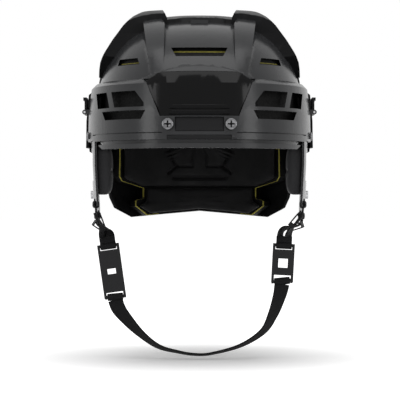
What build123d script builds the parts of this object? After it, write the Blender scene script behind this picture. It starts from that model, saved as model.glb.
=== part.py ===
"""Ice hockey helmet: a two-piece shell that slides to size, its foam liner, clear ear guards and chin strap.

Millimetres. +Z is up and the face looks along -Y. The origin is the centre of the head opening at brow level.
"""

from build123d import *
from math import copysign, cos, pi, radians, sin
import os

# Crown form: the smooth egg that the shells, foams and pads all follow
crown_half_width = 99.0
crown_front_reach = 148.0
crown_back_reach = 118.0
widest_y = 20.0
equator_z = 5.0
crown_height = 123.0
skirt_depth = 76.0
crown_squareness = 3.0
profile_squareness = 2.4
plan_squareness = 2.4
skirt_width_loss_share = 0.2
skirt_back_loss_share = 0.13
plan_point_count = 36
skirt_shares = (1.0, 0.66, 0.33)
skirt_waist_share = 0.6
crown_angles = (0, 14, 28, 42, 55, 67, 77, 85)
overrun = 60.0
hollow_foot_z = 45.0

# Shells
shell_wall = 2.5
slide_gap = 0.4
tongue_wall = 2.0
tongue_overlap = 30.0
tongue_foot_z = 14.0
joggle_length = 5.0
joggle_depth = 1.2
seam_gap = 0.6

# Seam between the shells, seen from the side
seam_top_y = -42.0
seam_top_z = 112.0
seam_flank_y = -44.0
seam_flank_z = 90.0
seam_waist_y = -15.0
seam_waist_z = 72.0
seam_band_y = 22.0
seam_band_z = 66.0

# Front shell's band round the brow and temples
band_outset_side = 7.0
band_outset_front = 6.5
band_ledge_z = 65.0
band_slope = 4.0
band_top_share = 0.55
band_foot_z = 10.2
band_foot_step = 0.3
band_foot_wall = 1.4
gap_outset_share = 0.2
lip_outset_share = 0.75
lip_top_z = 7.2
lip_foot_z = -8.0
brow_edge_z = 3.0
brow_edge_y = -75.0
temple_edge_y = -52.0
temple_edge_z = 12.0
arch_top_z = 76.0
arch_half_width = 50.0

# Creased centre of the front shell and the ridges along the crown
plateau_rise = 1.8
plateau_top_rise = 0.2
plateau_foot_half_width = 43.0
crease_half_width = 52.0
crease_top_z = 122.0
ridge_top_z = 150.0
front_ridge_rise = 5.5
front_ridge_spread = 3.0
front_ridge_reach = -1.4
ridge_squareness = 5.0
front_ridge_foot_x = 32.0
front_ridge_foot_z = 119.0
front_ridge_crest_x = 38.0
front_ridge_crest_z = 132.0
crown_tab_half_width = 8.0
crown_tab_length = 5.0
crown_tab_top_z = 123.6
crown_tab_depth = 5.0

# Rear shell
rear_shell_rise = 4.4
rear_shell_spread = 1.0
rear_ledge_z = 62.0
rear_band_outset_side = 10.0
rear_band_outset_back = 5.0
rear_band_foot_z = 4.0
rear_skirt_share = 0.12
rear_ridge_rise = 10.0
rear_ridge_spread = 3.0
rear_ridge_reach = 2.0
rear_ridge_foot_x = 30.0
rear_ridge_foot_z = 126.0
rear_ridge_crest_x = 35.3
rear_ridge_crest_z = 137.2
rear_ridge_slope = (
    (44.2, 137.2), (53.5, 134.2), (61.8, 128.3), (70.9, 118.9), (80.7, 105.6), (88.0, 93.8), (92.4, 85.0),
    (93.8, 79.0), (94.6, 72.5),
)
rear_ridge_hem_z = 72.5
nape_z = -54.0
nape_corner_x = 68.0
nape_corner_z = -60.0
nape_flank_x = 92.0
nape_flank_z = -46.0
ear_edge_z = 7.0
ear_edge_y = 49.0
ear_edge_back_y = 62.0
ear_edge_back_z = -14.0
ear_edge_foot_y = 74.0

# Windows, slots and vents of the front shell, as seen from the front
window_top_z = 54.5
window_sill_z = 40.0
window_outer_x = 95.0
window_outer_sill_x = 93.0
window_head_x = 57.5
window_shoulder_z = 43.5
window_inner_x = 49.5
window_rib_x = 82.0
window_rib_width = 4.6
window_rib_lean = 3.0
slot_top_z = 36.8
slot_sill_z = 29.0
slot_outer_x = 88.5
slot_inner_x = 48.0
slot_foot_x = 52.0
window_back_y = -40.0
groove_z = 16.0
groove_height = 1.0
groove_depth = 1.1
groove_inner_x = 33.0
crown_vent_top_z = 94.2
crown_vent_bottom_z = 85.8
crown_vent_top_half_width = 25.6
crown_vent_bottom_half_width = 21.1
side_vent_top_z = 85.5
side_vent_bottom_z = 79.5
side_vent_outer_x = 73.0
side_vent_inner_x = 56.0
side_vent_lean = 1.8

# Vents of the rear shell
back_vent_length = 26.0
back_vent_height = 8.0
back_vent_x = 22.0
back_vent_levels = (97.0, 78.0)
back_slot_length = 58.0
back_slot_height = 7.0
back_slot_levels = (44.0, 28.0)
top_vent_length = 32.0
top_vent_width = 9.0
top_vent_x = 15.0
top_vent_y = 24.0

# Glossy panel in the brow and the trim below it
panel_top_z = 71.4
panel_corner_x = 47.6
panel_corner_z = 63.1
panel_foot_x = 34.8
panel_foot_z = 31.6
panel_proud = 0.5
panel_wall = 1.2
panel_clearance = 0.25
panel_rib_proud = 1.3
panel_rib_height = 3.0
panel_rib_half_length = 30.0
panel_rib_levels = (39.6, 34.4)
trim_half_width = 21.4
trim_top_z = 30.2
trim_foot_z = 17.8
strip_half_width = 28.5
strip_top_z = 14.2
strip_foot_z = 11.0

# Visor screws and their nuts
screw_spacing = 56.0
screw_z = 24.0
screw_head_radius = 5.4
screw_head_height = 2.2
screw_head_taper = 14
screw_shank_radius = 2.0
screw_shank_length = 8.0
screw_clearance = 0.2
screw_seat_gap = 0.3
screw_recess_width = 1.4
screw_recess_length = 6.0
screw_recess_depth = 1.3
nut_radius = 6.0
nut_height = 2.2
nut_seat_gap = 0.5

# Foam liner and comfort pads, as depths in from the crown form
front_foam_depth = 2.8
rear_foam_depth = 5.2
foam_inner_side = 14.0
foam_inner_end = 22.0
foam_inner_top = 17.0
pad_gap = 0.3
pad_inner_side = 20.0
pad_inner_end = 31.0
pad_inner_top = 25.0
liner_gap = 1.5
front_foam_foot_z = 8.0
foam_margin = 2.2
pad_rounding = 2.5
wing_half_width = 76.0
wing_top_x = 62.0
wing_top_z = 62.0
wing_shoulder_z = 48.0
wing_foot_z = -20.0
wing_heel_x = 58.0
wing_heel_z = -29.0
occipital_top_z = -31.5
occipital_top_x = 54.0
occipital_waist_z = -44.0
occipital_heel_x = 61.0
occipital_heel_z = -49.0
occipital_foot_x = 50.0
occipital_foot_z = -56.0
occipital_mid_z = -51.5
pad_start_y = 30.0
channel_width = 3.0
channel_depth = 4.0
channel_level_z = -19.0
channel_half_length = 31.0
channel_rise = 30.0
panel_line_width = 1.6
panel_line_x = 7.5
panel_line_z = 4.0
forehead_half_width = 24.0
forehead_top_z = 66.0
forehead_foot_z = 11.0
temple_outer_x = 72.0
upper_pad_top_z = 84.0
upper_pad_foot_z = 71.0
upper_pad_half_width = 30.0
pad_spacing = 4.0
crown_pad_half_width = 30.0
crown_pad_front_y = -59.0
crown_pad_length = 59.5
crown_pad_spacing = 8.0
side_pad_front_y = -4.0
side_pad_back_y = 44.0
side_pad_foot_z = 11.0
side_pad_top_z = 58.0

# Ear guards
guard_levels = ((22.0, 102.9), (-10.0, 102.6), (-61.0, 100.0))
guard_reach_extra = 3.9
guard_wall = 2.0
guard_front_y = -44.0
guard_length = 94.0
guard_foot_z = -60.0
guard_height = 80.0
guard_outline_shares = (
    (0.0, 1.0), (1.0, 1.0), (1.0, 0.12), (0.98, 0.0), (0.76, 0.0), (0.71, 0.16),
    (0.34, 0.3), (0.28, 0.14), (0.04, 0.14), (0.0, 0.2),
)
guard_window_shares = ((0.16, 0.78), (0.84, 0.78), (0.84, 0.32), (0.7, 0.32), (0.32, 0.44), (0.16, 0.44))
lobe_slot_height = 3.6
lobe_slot_length = 15.0
lobe_bar_height = 3.4
front_lobe_y = -30.5
front_lobe_foot_z = -48.8
rear_lobe_y = 37.5
rear_lobe_foot_z = -60.0
guard_screw_ys = (-30.0, 10.0)
guard_screw_z = 17.0
guard_screw_radius = 3.4
guard_screw_head = 1.6
guard_screw_shank_radius = 1.6
guard_screw_shank_length = 8.6
guard_nut_radius = 3.6
guard_nut_height = 2.2

# Snap studs on the ear guards for a face guard's straps
stud_radius = 4.0
stud_length = 3.2
stud_base_radius = 5.6
stud_base_height = 1.2
stud_shank_radius = 1.6
stud_y = 42.0
stud_z = -38.0
stud_seat_gap = 0.3

# Side pads between the ear guards and the head
ear_pad_front_y = -40.0
ear_pad_length = 34.0
ear_pad_foot_z = -38.0
ear_pad_outer_x = 92.0
ear_pad_thickness = 11.0
ear_pad_corner = 8.0
ear_pad_crown_share = 0.3
ear_pad_draw = 2.5
slope_step = 1.0

# Locking levers on the temples
lever_y = 4.0
lever_length = 24.0
lever_height = 14.0
lever_thickness = 2.2
lever_pivot_x = 108.5
lever_pivot_z = 40.0
lever_tab_height = 3.0
lever_tab_proud = 1.2
lever_gap = 0.4
lever_pin_radius = 1.0
lever_bore_clearance = 0.06
lever_hub_radius = 2.0
lug_width = 2.6
lug_radius = 2.2
clamp_length = 12.0
clamp_height = 7.0
clamp_z = 48.0
clamp_clearance = 0.4
rack_tooth_pitch = 4.0
rack_tooth_height = 1.2
rack_tooth_share = 0.5
rack_base = 0.8
rack_height = 10.0
rack_cut_height = 30.0
rack_back_y = 21.0
rack_length = 49.0
rack_seat = 0.3
rack_channel_depth = 5.4
rack_channel_margin = 1.5

# Webbing and its hardware
webbing_width = 15.0
leg_width = 12.0
webbing_thickness = 1.6
loop_clearance = 0.3
bar_radius = 1.6
strap_y = 2.0
left_yoke_x = -80.0
left_yoke_z = -135.0
left_yoke_length = 49.0
left_yoke_lean = 8.0
right_yoke_x = 78.5
right_yoke_z = -120.0
right_yoke_length = 34.0
right_yoke_lean = -3.0
yoke_thickness = 3.2
yoke_rim = 2.4
yoke_play = 0.5
left_yoke_window = (8.0, 5.0)
right_yoke_window = (9.0, 8.6)
patch_length = 9.0
patch_bulge = 0.4
ply_gap = 0.2
seam_allowance = 0.8
leg_bend = 12.0
leg_step_count = 6
leg_straight_share = 0.4
keeper_height = 6.0
keeper_wall = 1.1
keeper_gap = 1.2
keeper_step = 2
chin_drop = 62.0
chin_across_shares = (
    0.0, 0.0, 0.015, 0.05, 0.145, 0.256, 0.374, 0.478, 0.577, 0.75, 0.885, 0.945, 0.985, 1.0, 1.0,
)
chin_drop_shares = (
    0.0, 0.043, 0.16, 0.3, 0.584, 0.82, 0.934, 1.0, 1.01, 0.93, 0.745, 0.5, 0.22, 0.043, 0.0,
)
chin_twist_angles = (0, 0, 12, 30, 55, 70, 77, 79, 79, 74, 62, 46, 26, 0, 0)


def signed_power(value, power):
    return copysign(abs(value) ** power, value)


def section(z, side=0.0, front=0.0, back=0.0, top=0.0, squareness=crown_squareness):
    """Half width, front reach and back reach of the crown form, grown by the given amounts, at height z."""
    half_width = crown_half_width + side
    front_reach = crown_front_reach + front
    back_reach = crown_back_reach + back
    if z < equator_z:
        drop = (equator_z - z) / skirt_depth
        narrowing = 1 - skirt_width_loss_share * drop**2
        shortening = 1 - skirt_back_loss_share * drop**2
        return half_width * narrowing, front_reach * narrowing, back_reach * shortening
    rise = (z - equator_z) / (crown_height + top)
    across = (1 - rise**squareness) ** (1 / squareness)
    along = (1 - rise**profile_squareness) ** (1 / profile_squareness)
    return half_width * across, front_reach * along, back_reach * along


def plan_points(half_width, front_reach, back_reach):
    """Points round one level of the form, a superellipse with its own reach to the front and the back."""
    points = []
    for index in range(plan_point_count):
        angle = pi * (2 * index + 1) / plan_point_count + pi / 2
        reach = back_reach if sin(angle) > 0 else front_reach
        x = half_width * signed_power(cos(angle), 2 / plan_squareness)
        y = widest_y + reach * signed_power(sin(angle), 2 / plan_squareness)
        points.append((x, y))
    return points


def level_loft(levels, ruled=False):
    """Solid through plan curves, each given as its height, half width, front reach and back reach."""
    with BuildPart() as form:
        for z, half_width, front_reach, back_reach in levels:
            with BuildSketch(Plane.XY.offset(z)):
                with BuildLine():
                    Spline(*plan_points(half_width, front_reach, back_reach), periodic=True)
                make_face()
        loft(ruled=ruled)
    return form.part


def egg(side=0.0, front=0.0, back=0.0, top=0.0, squareness=crown_squareness):
    """The whole crown form, grown by the given amounts."""
    heights = [equator_z - skirt_depth * share for share in skirt_shares]
    heights += [equator_z + (crown_height + top) * sin(radians(a)) ** (2 / squareness) for a in crown_angles]
    return level_loft([(z, *section(z, side, front, back, top, squareness)) for z in heights])


def even_egg(depth):
    """The crown form drawn in by the same depth everywhere."""
    return egg(-depth, -depth, -depth, -depth)


def belt_form(belt, outset_side, outset_front, outset_back, grow=0.0):
    """Ruled form round the crown, from heights and the share of the outset that each has."""
    levels = []
    for z, share in belt:
        half_width, front_reach, back_reach = section(z)
        levels.append((
            z,
            half_width + outset_side * share + grow,
            front_reach + outset_front * share + grow,
            back_reach + outset_back * share + grow,
        ))
    return level_loft(levels, ruled=True)


def front_belt(drop=0.0, foot_drop=0.0):
    """Heights and outset shares of the front band: foot, belt and sloping shoulder."""
    return (
        (lip_foot_z, gap_outset_share),
        (band_foot_z + foot_drop, gap_outset_share),
        (band_foot_z + band_foot_step + foot_drop, 1.0),
        ((band_foot_z + band_ledge_z) / 2, 1.0),
        (band_ledge_z - band_slope - drop, 1.0),
        (band_ledge_z - drop, band_top_share),
    )


def rear_belt(drop=0.0):
    """Heights and outset shares of the rear shell below its ledge: shoulder, belt and plain skirt."""
    return (
        (equator_z - skirt_depth, rear_skirt_share),
        (equator_z - skirt_depth * skirt_waist_share, rear_skirt_share),
        (rear_band_foot_z - band_slope, rear_skirt_share),
        (rear_band_foot_z + drop, 1.0),
        ((rear_band_foot_z + rear_ledge_z) / 2, 1.0),
        (rear_ledge_z - band_slope - drop, 1.0),
        (rear_ledge_z - drop, band_top_share),
    )


def side_prism(points):
    """Prism across the helmet from an outline seen from the side, as Y and Z."""
    with BuildPart() as prism:
        with BuildSketch(Plane.YZ):
            with BuildLine():
                Polyline(*points, close=True)
            make_face()
        extrude(amount=crown_half_width + overrun, both=True)
    return prism.part


def front_prism(points, front_y, back_y, mirrored=False, taper=0.0):
    """Prism along the helmet from an outline seen from the front, as X and Z."""
    with BuildPart() as prism:
        with BuildSketch(Plane.XZ.offset(-back_y)):
            with BuildLine():
                Polyline(*points, close=True)
            make_face()
        extrude(amount=back_y - front_y, taper=taper)
        if mirrored:
            mirror(about=Plane.YZ)
    return prism.part


def mirrored_outline(half):
    """A closed outline from its right half, given from the middle of one edge round to the other."""
    return list(half) + [(-x, z) for x, z in reversed(half) if x != 0]


def front_face_y(x, z, grow=0.0):
    """Y of the brow band's face at a place seen from the front."""
    half_width, front_reach, _ = section(z)
    across = abs(x) / (half_width + band_outset_side + grow)
    along = (1 - across**plan_squareness) ** (1 / plan_squareness)
    return widest_y - (front_reach + band_outset_front + grow) * along


def flank_x(half_width, extra_reach, y):
    """X of a plan curve's flank at a place along the helmet."""
    reach = (crown_back_reach if y > widest_y else crown_front_reach) + extra_reach
    along = abs(y - widest_y) / reach
    return half_width * (1 - along**plan_squareness) ** (1 / plan_squareness)


front_end = -(crown_front_reach + overrun)
back_end = widest_y + crown_back_reach + overrun
roof_z = crown_height + overrun
floor_z = equator_z - skirt_depth - overrun


def seam_line(shift=0.0):
    """The seam between the shells, seen from the side, from its foot up, moved back by a shift."""
    return [
        (seam_band_y + shift, floor_z),
        (seam_band_y + shift, seam_band_z),
        (seam_waist_y + shift, seam_waist_z),
        (seam_flank_y + shift, seam_flank_z),
        (seam_top_y + shift, seam_top_z),
        (seam_top_y + shift, roof_z),
    ]


def ahead_of_seam(shift=0.0):
    return side_prism(seam_line(shift) + [(front_end, roof_z), (front_end, floor_z)])


def behind_seam(shift=0.0):
    return side_prism(seam_line(shift) + [(back_end, roof_z), (back_end, floor_z)])


def arch_prism():
    """The brow block's outline seen from the front: a low arch on the band's ledge."""
    with BuildPart() as prism:
        with BuildSketch(Plane.XZ):
            with BuildLine():
                Line((-arch_half_width, band_ledge_z), (arch_half_width, band_ledge_z))
                ThreePointArc(
                    (arch_half_width, band_ledge_z), (0, arch_top_z), (-arch_half_width, band_ledge_z)
                )
            make_face()
        extrude(amount=crown_front_reach + overrun)
    return prism.part


def brow_face_form(grow):
    """The brow's face, from below the trim to above the panel, moved out by an amount."""
    heights = (band_foot_z, band_ledge_z - band_slope, arch_top_z + band_slope)
    levels = []
    for z in heights:
        half_width, front_reach, back_reach = section(z)
        side_reach = half_width + band_outset_side + grow
        levels.append((z, side_reach, front_reach + band_outset_front + grow, back_reach))
    return level_loft(levels, ruled=True)


def panel_outline(clearance=0.0):
    """The glossy panel seen from the front: flat top, raked sides, narrow foot."""
    half = (
        (0, panel_foot_z - clearance), (panel_foot_x + clearance, panel_foot_z - clearance),
        (panel_corner_x + clearance, panel_corner_z), (panel_foot_x, panel_top_z - panel_proud + clearance),
        (0, panel_top_z + clearance),
    )
    return mirrored_outline(half)


def trim_outlines(clearance=0.0):
    """The trim seen from the front: a plate between the visor screws and a strip on the band's foot."""
    outlines = []
    for half_width, foot_z, top_z in (
        (trim_half_width, trim_foot_z, trim_top_z), (strip_half_width, strip_foot_z, strip_top_z)
    ):
        half = (
            (0, foot_z - clearance), (half_width + clearance, foot_z - clearance),
            (half_width + clearance, top_z + clearance), (0, top_z + clearance),
        )
        outlines.append(mirrored_outline(half))
    return outlines


def window_outlines():
    """The windows and the slot on one side of the brow, as seen from the front."""
    rib_foot = window_rib_x - window_rib_lean
    half_rib = window_rib_width / 2
    inner_window = [
        (window_head_x, window_top_z), (window_rib_x - half_rib, window_top_z),
        (rib_foot - half_rib, window_sill_z), (window_inner_x, window_sill_z),
        (window_inner_x, window_shoulder_z),
    ]
    outer_window = [
        (window_rib_x + half_rib, window_top_z), (window_outer_x, window_top_z),
        (window_outer_sill_x, window_sill_z), (rib_foot + half_rib, window_sill_z),
    ]
    lower_slot = [
        (slot_inner_x, slot_top_z), (slot_outer_x, slot_top_z),
        (slot_outer_x - window_rib_lean, slot_sill_z), (slot_foot_x, slot_sill_z),
    ]
    return inner_window, outer_window, lower_slot


def face_plane(x, z, grow=0.0):
    """Plane on the brow's face, square to the line of sight and facing forward."""
    return Plane(origin=(x, front_face_y(x, z, grow), z), x_dir=(1, 0, 0), z_dir=(0, -1, 0))


def sideways_plane(side, x, y, z):
    """Plane that faces out to one side, at a distance from the middle of the helmet."""
    return Plane(origin=(side * x, y, z), x_dir=(0, 1, 0), z_dir=(side, 0, 0))


def flank_plane(side, y, z):
    """Plane on the temple's face, facing out to one side."""
    x = flank_x(section(z)[0] + band_outset_side, band_outset_front, y)
    return sideways_plane(side, x, y, z)


screw_places = [(-screw_spacing / 2, screw_z), (screw_spacing / 2, screw_z)]
tongue_depth = shell_wall + slide_gap
rack_depth = tongue_depth - rack_seat - rack_base - rack_tooth_height
rack_half_width = section(clamp_z - clamp_height, side=-rack_depth)[0]
rack_middle_y = rack_back_y - rack_length / 2
clamp_inner_x = flank_x(rack_half_width, -rack_depth, widest_y) + clamp_clearance
clamp_outer_x = lever_pivot_x - lever_hub_radius - clamp_clearance
lug_ys = (
    lever_y - lever_length / 2 - lever_gap,
    lever_y + lever_length / 2 + lever_gap + lug_width,
)
shell_hollow = even_egg(shell_wall)

with BuildPart() as crown_hollow:
    add(shell_hollow)
    split(bisect_by=Plane.XY.offset(hollow_foot_z), keep=Keep.TOP)

# Front shell, above its ledge
with BuildPart() as front_crown:
    add(egg())
    split(bisect_by=Plane.XY.offset(band_ledge_z), keep=Keep.TOP)
    add(ahead_of_seam(), mode=Mode.INTERSECT)

with BuildPart() as plateau:
    add(egg(plateau_rise, plateau_rise, 0, plateau_top_rise))
    plateau_half = (
        (0, band_ledge_z), (plateau_foot_half_width, band_ledge_z), (crease_half_width, crease_top_z),
        (crease_half_width, ridge_top_z), (0, ridge_top_z),
    )
    add(front_prism(mirrored_outline(plateau_half), front_end, widest_y), mode=Mode.INTERSECT)
    add(ahead_of_seam(), mode=Mode.INTERSECT)

with BuildPart() as front_ridges:
    add(egg(front_ridge_spread, front_ridge_reach, 0, front_ridge_rise, ridge_squareness))
    front_ridge_outline = [
        (front_ridge_foot_x, band_ledge_z), (plateau_foot_half_width, band_ledge_z),
        (crease_half_width, crease_top_z), (crease_half_width, ridge_top_z),
        (front_ridge_crest_x, ridge_top_z), (front_ridge_crest_x, front_ridge_crest_z),
        (front_ridge_foot_x, front_ridge_foot_z),
    ]
    add(front_prism(front_ridge_outline, front_end, widest_y, mirrored=True), mode=Mode.INTERSECT)
    add(ahead_of_seam(), mode=Mode.INTERSECT)

with BuildPart() as brow_block:
    add(brow_face_form(0.0))
    add(arch_prism(), mode=Mode.INTERSECT)

# Front shell, the band below its ledge and the lip under the band
front_outsets = (band_outset_side, band_outset_front, band_outset_front)
with BuildPart() as front_band:
    add(belt_form(front_belt(), *front_outsets))
    add(belt_form(((lip_foot_z, lip_outset_share), (lip_top_z, lip_outset_share)), *front_outsets))
    add(ahead_of_seam(), mode=Mode.INTERSECT)
    add(belt_form(front_belt(shell_wall, band_foot_wall), *front_outsets, -shell_wall), mode=Mode.SUBTRACT)
    add(crown_hollow.part, mode=Mode.SUBTRACT)
    brow_edge = [
        (front_end, brow_edge_z), (brow_edge_y, brow_edge_z), (temple_edge_y, temple_edge_z),
        (back_end, temple_edge_z), (back_end, floor_z), (front_end, floor_z),
    ]
    add(side_prism(brow_edge), mode=Mode.SUBTRACT)

# Grooves, panel pockets and screw holes in the brow
with BuildPart() as brow_groove:
    groove_outline = [
        (groove_inner_x, groove_z), (crown_half_width + overrun, groove_z),
        (crown_half_width + overrun, groove_z + groove_height), (groove_inner_x, groove_z + groove_height),
    ]
    add(front_prism(groove_outline, front_end, temple_edge_y, mirrored=True))
    add(brow_face_form(-groove_depth), mode=Mode.SUBTRACT)

with BuildPart() as panel_pocket:
    add(front_prism(panel_outline(panel_clearance), front_end, window_back_y))
    for outline in trim_outlines(panel_clearance):
        add(front_prism(outline, front_end, window_back_y))
    add(brow_face_form(-panel_wall - panel_clearance), mode=Mode.SUBTRACT)

# Front shell: the load-bearing half that the head, ear guards and straps hang from
with BuildPart() as front_shell:
    add(front_crown.part)
    add(plateau.part)
    add(front_ridges.part)
    add(brow_block.part)
    with BuildSketch(Plane.XY.offset(crown_tab_top_z)):
        with Locations((0, seam_top_y - crown_tab_length / 2)):
            Rectangle(2 * crown_tab_half_width, crown_tab_length)
    extrude(amount=-crown_tab_depth)
    add(crown_hollow.part, mode=Mode.SUBTRACT)
    add(front_band.part)
    for outline in window_outlines():
        add(front_prism(outline, front_end, window_back_y, mirrored=True), mode=Mode.SUBTRACT)
    crown_vent_half = (
        (0, crown_vent_bottom_z), (crown_vent_bottom_half_width, crown_vent_bottom_z),
        (crown_vent_top_half_width, crown_vent_top_z), (0, crown_vent_top_z),
    )
    add(front_prism(mirrored_outline(crown_vent_half), front_end, window_back_y), mode=Mode.SUBTRACT)
    side_vent = [
        (side_vent_inner_x, side_vent_top_z), (side_vent_outer_x, side_vent_top_z),
        (side_vent_outer_x + side_vent_lean, side_vent_bottom_z),
        (side_vent_inner_x - side_vent_lean, side_vent_bottom_z),
    ]
    add(front_prism(side_vent, front_end, window_back_y, mirrored=True), mode=Mode.SUBTRACT)
    add(brow_groove.part, mode=Mode.SUBTRACT)
    add(panel_pocket.part, mode=Mode.SUBTRACT)
    for x, z in screw_places:
        with BuildSketch(face_plane(x, z)):
            Circle(screw_shank_radius + screw_clearance)
        extrude(amount=screw_shank_length, both=True, mode=Mode.SUBTRACT)
    for side in (-1, 1):
        for y in guard_screw_ys:
            with BuildSketch(flank_plane(side, y, guard_screw_z)):
                Circle(guard_screw_shank_radius + screw_clearance)
            extrude(amount=guard_screw_shank_length, both=True, mode=Mode.SUBTRACT)
        with BuildSketch(sideways_plane(side, clamp_outer_x, lever_y, clamp_z)):
            Rectangle(clamp_length + 2 * clamp_clearance, clamp_height + 2 * clamp_clearance)
        extrude(amount=clamp_height, both=True, mode=Mode.SUBTRACT)
        for y in lug_ys:
            with BuildSketch(Plane.XZ.offset(-y)):
                with Locations((side * lever_pivot_x, lever_pivot_z)):
                    Circle(lug_radius)
                with Locations((side * (lever_pivot_x - lug_radius), lever_pivot_z)):
                    Rectangle(2 * lug_radius, 2 * lug_radius)
            extrude(amount=lug_width)
            with BuildSketch(Plane.XZ.offset(-y)):
                with Locations((side * lever_pivot_x, lever_pivot_z)):
                    Circle(lever_pin_radius + lever_bore_clearance)
            extrude(amount=lug_width, mode=Mode.SUBTRACT)

# Glossy panel with its two sculpted ribs
with BuildPart() as brow_panel:
    add(front_prism(panel_outline(), front_end, window_back_y))
    add(brow_face_form(panel_proud), mode=Mode.INTERSECT)
    for level in panel_rib_levels:
        rib_root_y = front_face_y(panel_rib_half_length, level)
        with BuildSketch(Plane.XZ.offset(-rib_root_y)):
            with Locations((0, level)):
                SlotOverall(2 * panel_rib_half_length, panel_rib_height)
        extrude(amount=rib_root_y - front_end)
    add(brow_face_form(panel_proud + panel_rib_proud), mode=Mode.INTERSECT)
    add(brow_face_form(-panel_wall), mode=Mode.SUBTRACT)

with BuildPart() as brow_trim:
    for outline in trim_outlines():
        add(front_prism(outline, front_end, window_back_y))
    add(brow_face_form(panel_proud), mode=Mode.INTERSECT)
    add(brow_face_form(-panel_wall), mode=Mode.SUBTRACT)

# Visor screws with cross recesses, and the nuts behind the shell
with BuildPart() as visor_screws:
    for x, z in screw_places:
        seat = front_face_y(abs(x) - screw_head_radius, z) - screw_seat_gap
        head_plane = Plane(origin=(x, seat, z), x_dir=(1, 0, 0), z_dir=(0, -1, 0))
        with BuildSketch(head_plane):
            Circle(screw_head_radius)
        extrude(amount=screw_head_height, taper=screw_head_taper)
        with BuildSketch(head_plane):
            Circle(screw_shank_radius)
        extrude(amount=-screw_shank_length)
        with BuildSketch(head_plane.offset(screw_head_height)):
            Rectangle(screw_recess_length, screw_recess_width)
            Rectangle(screw_recess_width, screw_recess_length)
        extrude(amount=-screw_recess_depth, mode=Mode.SUBTRACT)

with BuildPart() as visor_nuts:
    for x, z in screw_places:
        seat = front_face_y(abs(x) + nut_radius, z, -shell_wall) + nut_seat_gap
        with BuildSketch(Plane(origin=(x, seat, z), x_dir=(1, 0, 0), z_dir=(0, 1, 0))):
            RegularPolygon(nut_radius, 6)
            Circle(screw_shank_radius + lever_bore_clearance, mode=Mode.SUBTRACT)
        extrude(amount=nut_height)

# Rear shell: raised crown with two ribs, its own band, a skirt to the nape and a tongue that slides forward
with BuildPart() as rear_crown:
    add(egg(rear_shell_spread, rear_shell_spread, rear_shell_spread, rear_shell_rise))
    split(bisect_by=Plane.XY.offset(rear_ledge_z), keep=Keep.TOP)
    add(behind_seam(seam_gap), mode=Mode.INTERSECT)

with BuildPart() as rear_ridges:
    add(egg(rear_ridge_spread, rear_ridge_reach, rear_ridge_reach, rear_ridge_rise, ridge_squareness))
    rear_ridge_outline = [
        (rear_ridge_foot_x, rear_ridge_hem_z), (rear_ridge_foot_x, rear_ridge_foot_z),
        (rear_ridge_crest_x, rear_ridge_crest_z), *rear_ridge_slope,
    ]
    add(front_prism(rear_ridge_outline, front_end, back_end, mirrored=True), mode=Mode.INTERSECT)
    add(behind_seam(seam_gap), mode=Mode.INTERSECT)

with BuildPart() as ridge_hollow:
    add(egg(
        rear_ridge_spread - shell_wall, rear_ridge_reach - shell_wall, rear_ridge_reach - shell_wall,
        rear_ridge_rise - shell_wall, ridge_squareness,
    ))
    ridge_hollow_outline = [
        (rear_ridge_foot_x + shell_wall, rear_ridge_hem_z + shell_wall),
        (rear_ridge_foot_x + shell_wall, rear_ridge_foot_z),
        (rear_ridge_crest_x + shell_wall, rear_ridge_crest_z - shell_wall),
        *[(x - shell_wall, z - shell_wall) for x, z in rear_ridge_slope[:-1]],
        (rear_ridge_slope[-1][0] - shell_wall, rear_ridge_hem_z + shell_wall),
    ]
    add(front_prism(ridge_hollow_outline, front_end, back_end, mirrored=True), mode=Mode.INTERSECT)
    add(behind_seam(seam_gap + joggle_length + shell_wall), mode=Mode.INTERSECT)

rear_outsets = (rear_band_outset_side, rear_band_outset_side, rear_band_outset_back)
with BuildPart() as rear_skirt:
    add(belt_form(rear_belt(), *rear_outsets))
    add(belt_form(rear_belt(shell_wall), *rear_outsets, -shell_wall), mode=Mode.SUBTRACT)
    add(crown_hollow.part, mode=Mode.SUBTRACT)
    add(behind_seam(seam_gap), mode=Mode.INTERSECT)
    ear_edge = [
        (front_end, ear_edge_z), (ear_edge_y, ear_edge_z), (ear_edge_back_y, ear_edge_back_z),
        (ear_edge_foot_y, floor_z), (front_end, floor_z),
    ]
    add(side_prism(ear_edge), mode=Mode.SUBTRACT)
    below_nape = (
        (0, nape_z), (nape_corner_x, nape_corner_z), (nape_flank_x, nape_flank_z),
        (crown_half_width + overrun, nape_flank_z), (crown_half_width + overrun, floor_z), (0, floor_z),
    )
    add(front_prism(mirrored_outline(below_nape), widest_y, back_end), mode=Mode.SUBTRACT)

with BuildPart() as slider:
    add(even_egg(tongue_depth))
    slider_outline = seam_line(-tongue_overlap) + seam_line(seam_gap + joggle_length)[::-1]
    add(side_prism(slider_outline), mode=Mode.INTERSECT)

with BuildPart() as tongue:
    add(even_egg(joggle_depth))
    joggle_outline = seam_line(seam_gap) + seam_line(seam_gap + joggle_length)[::-1]
    add(side_prism(joggle_outline), mode=Mode.INTERSECT)
    add(slider.part)
    add(even_egg(tongue_depth + tongue_wall), mode=Mode.SUBTRACT)
    split(bisect_by=Plane.XY.offset(tongue_foot_z), keep=Keep.TOP)

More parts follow.
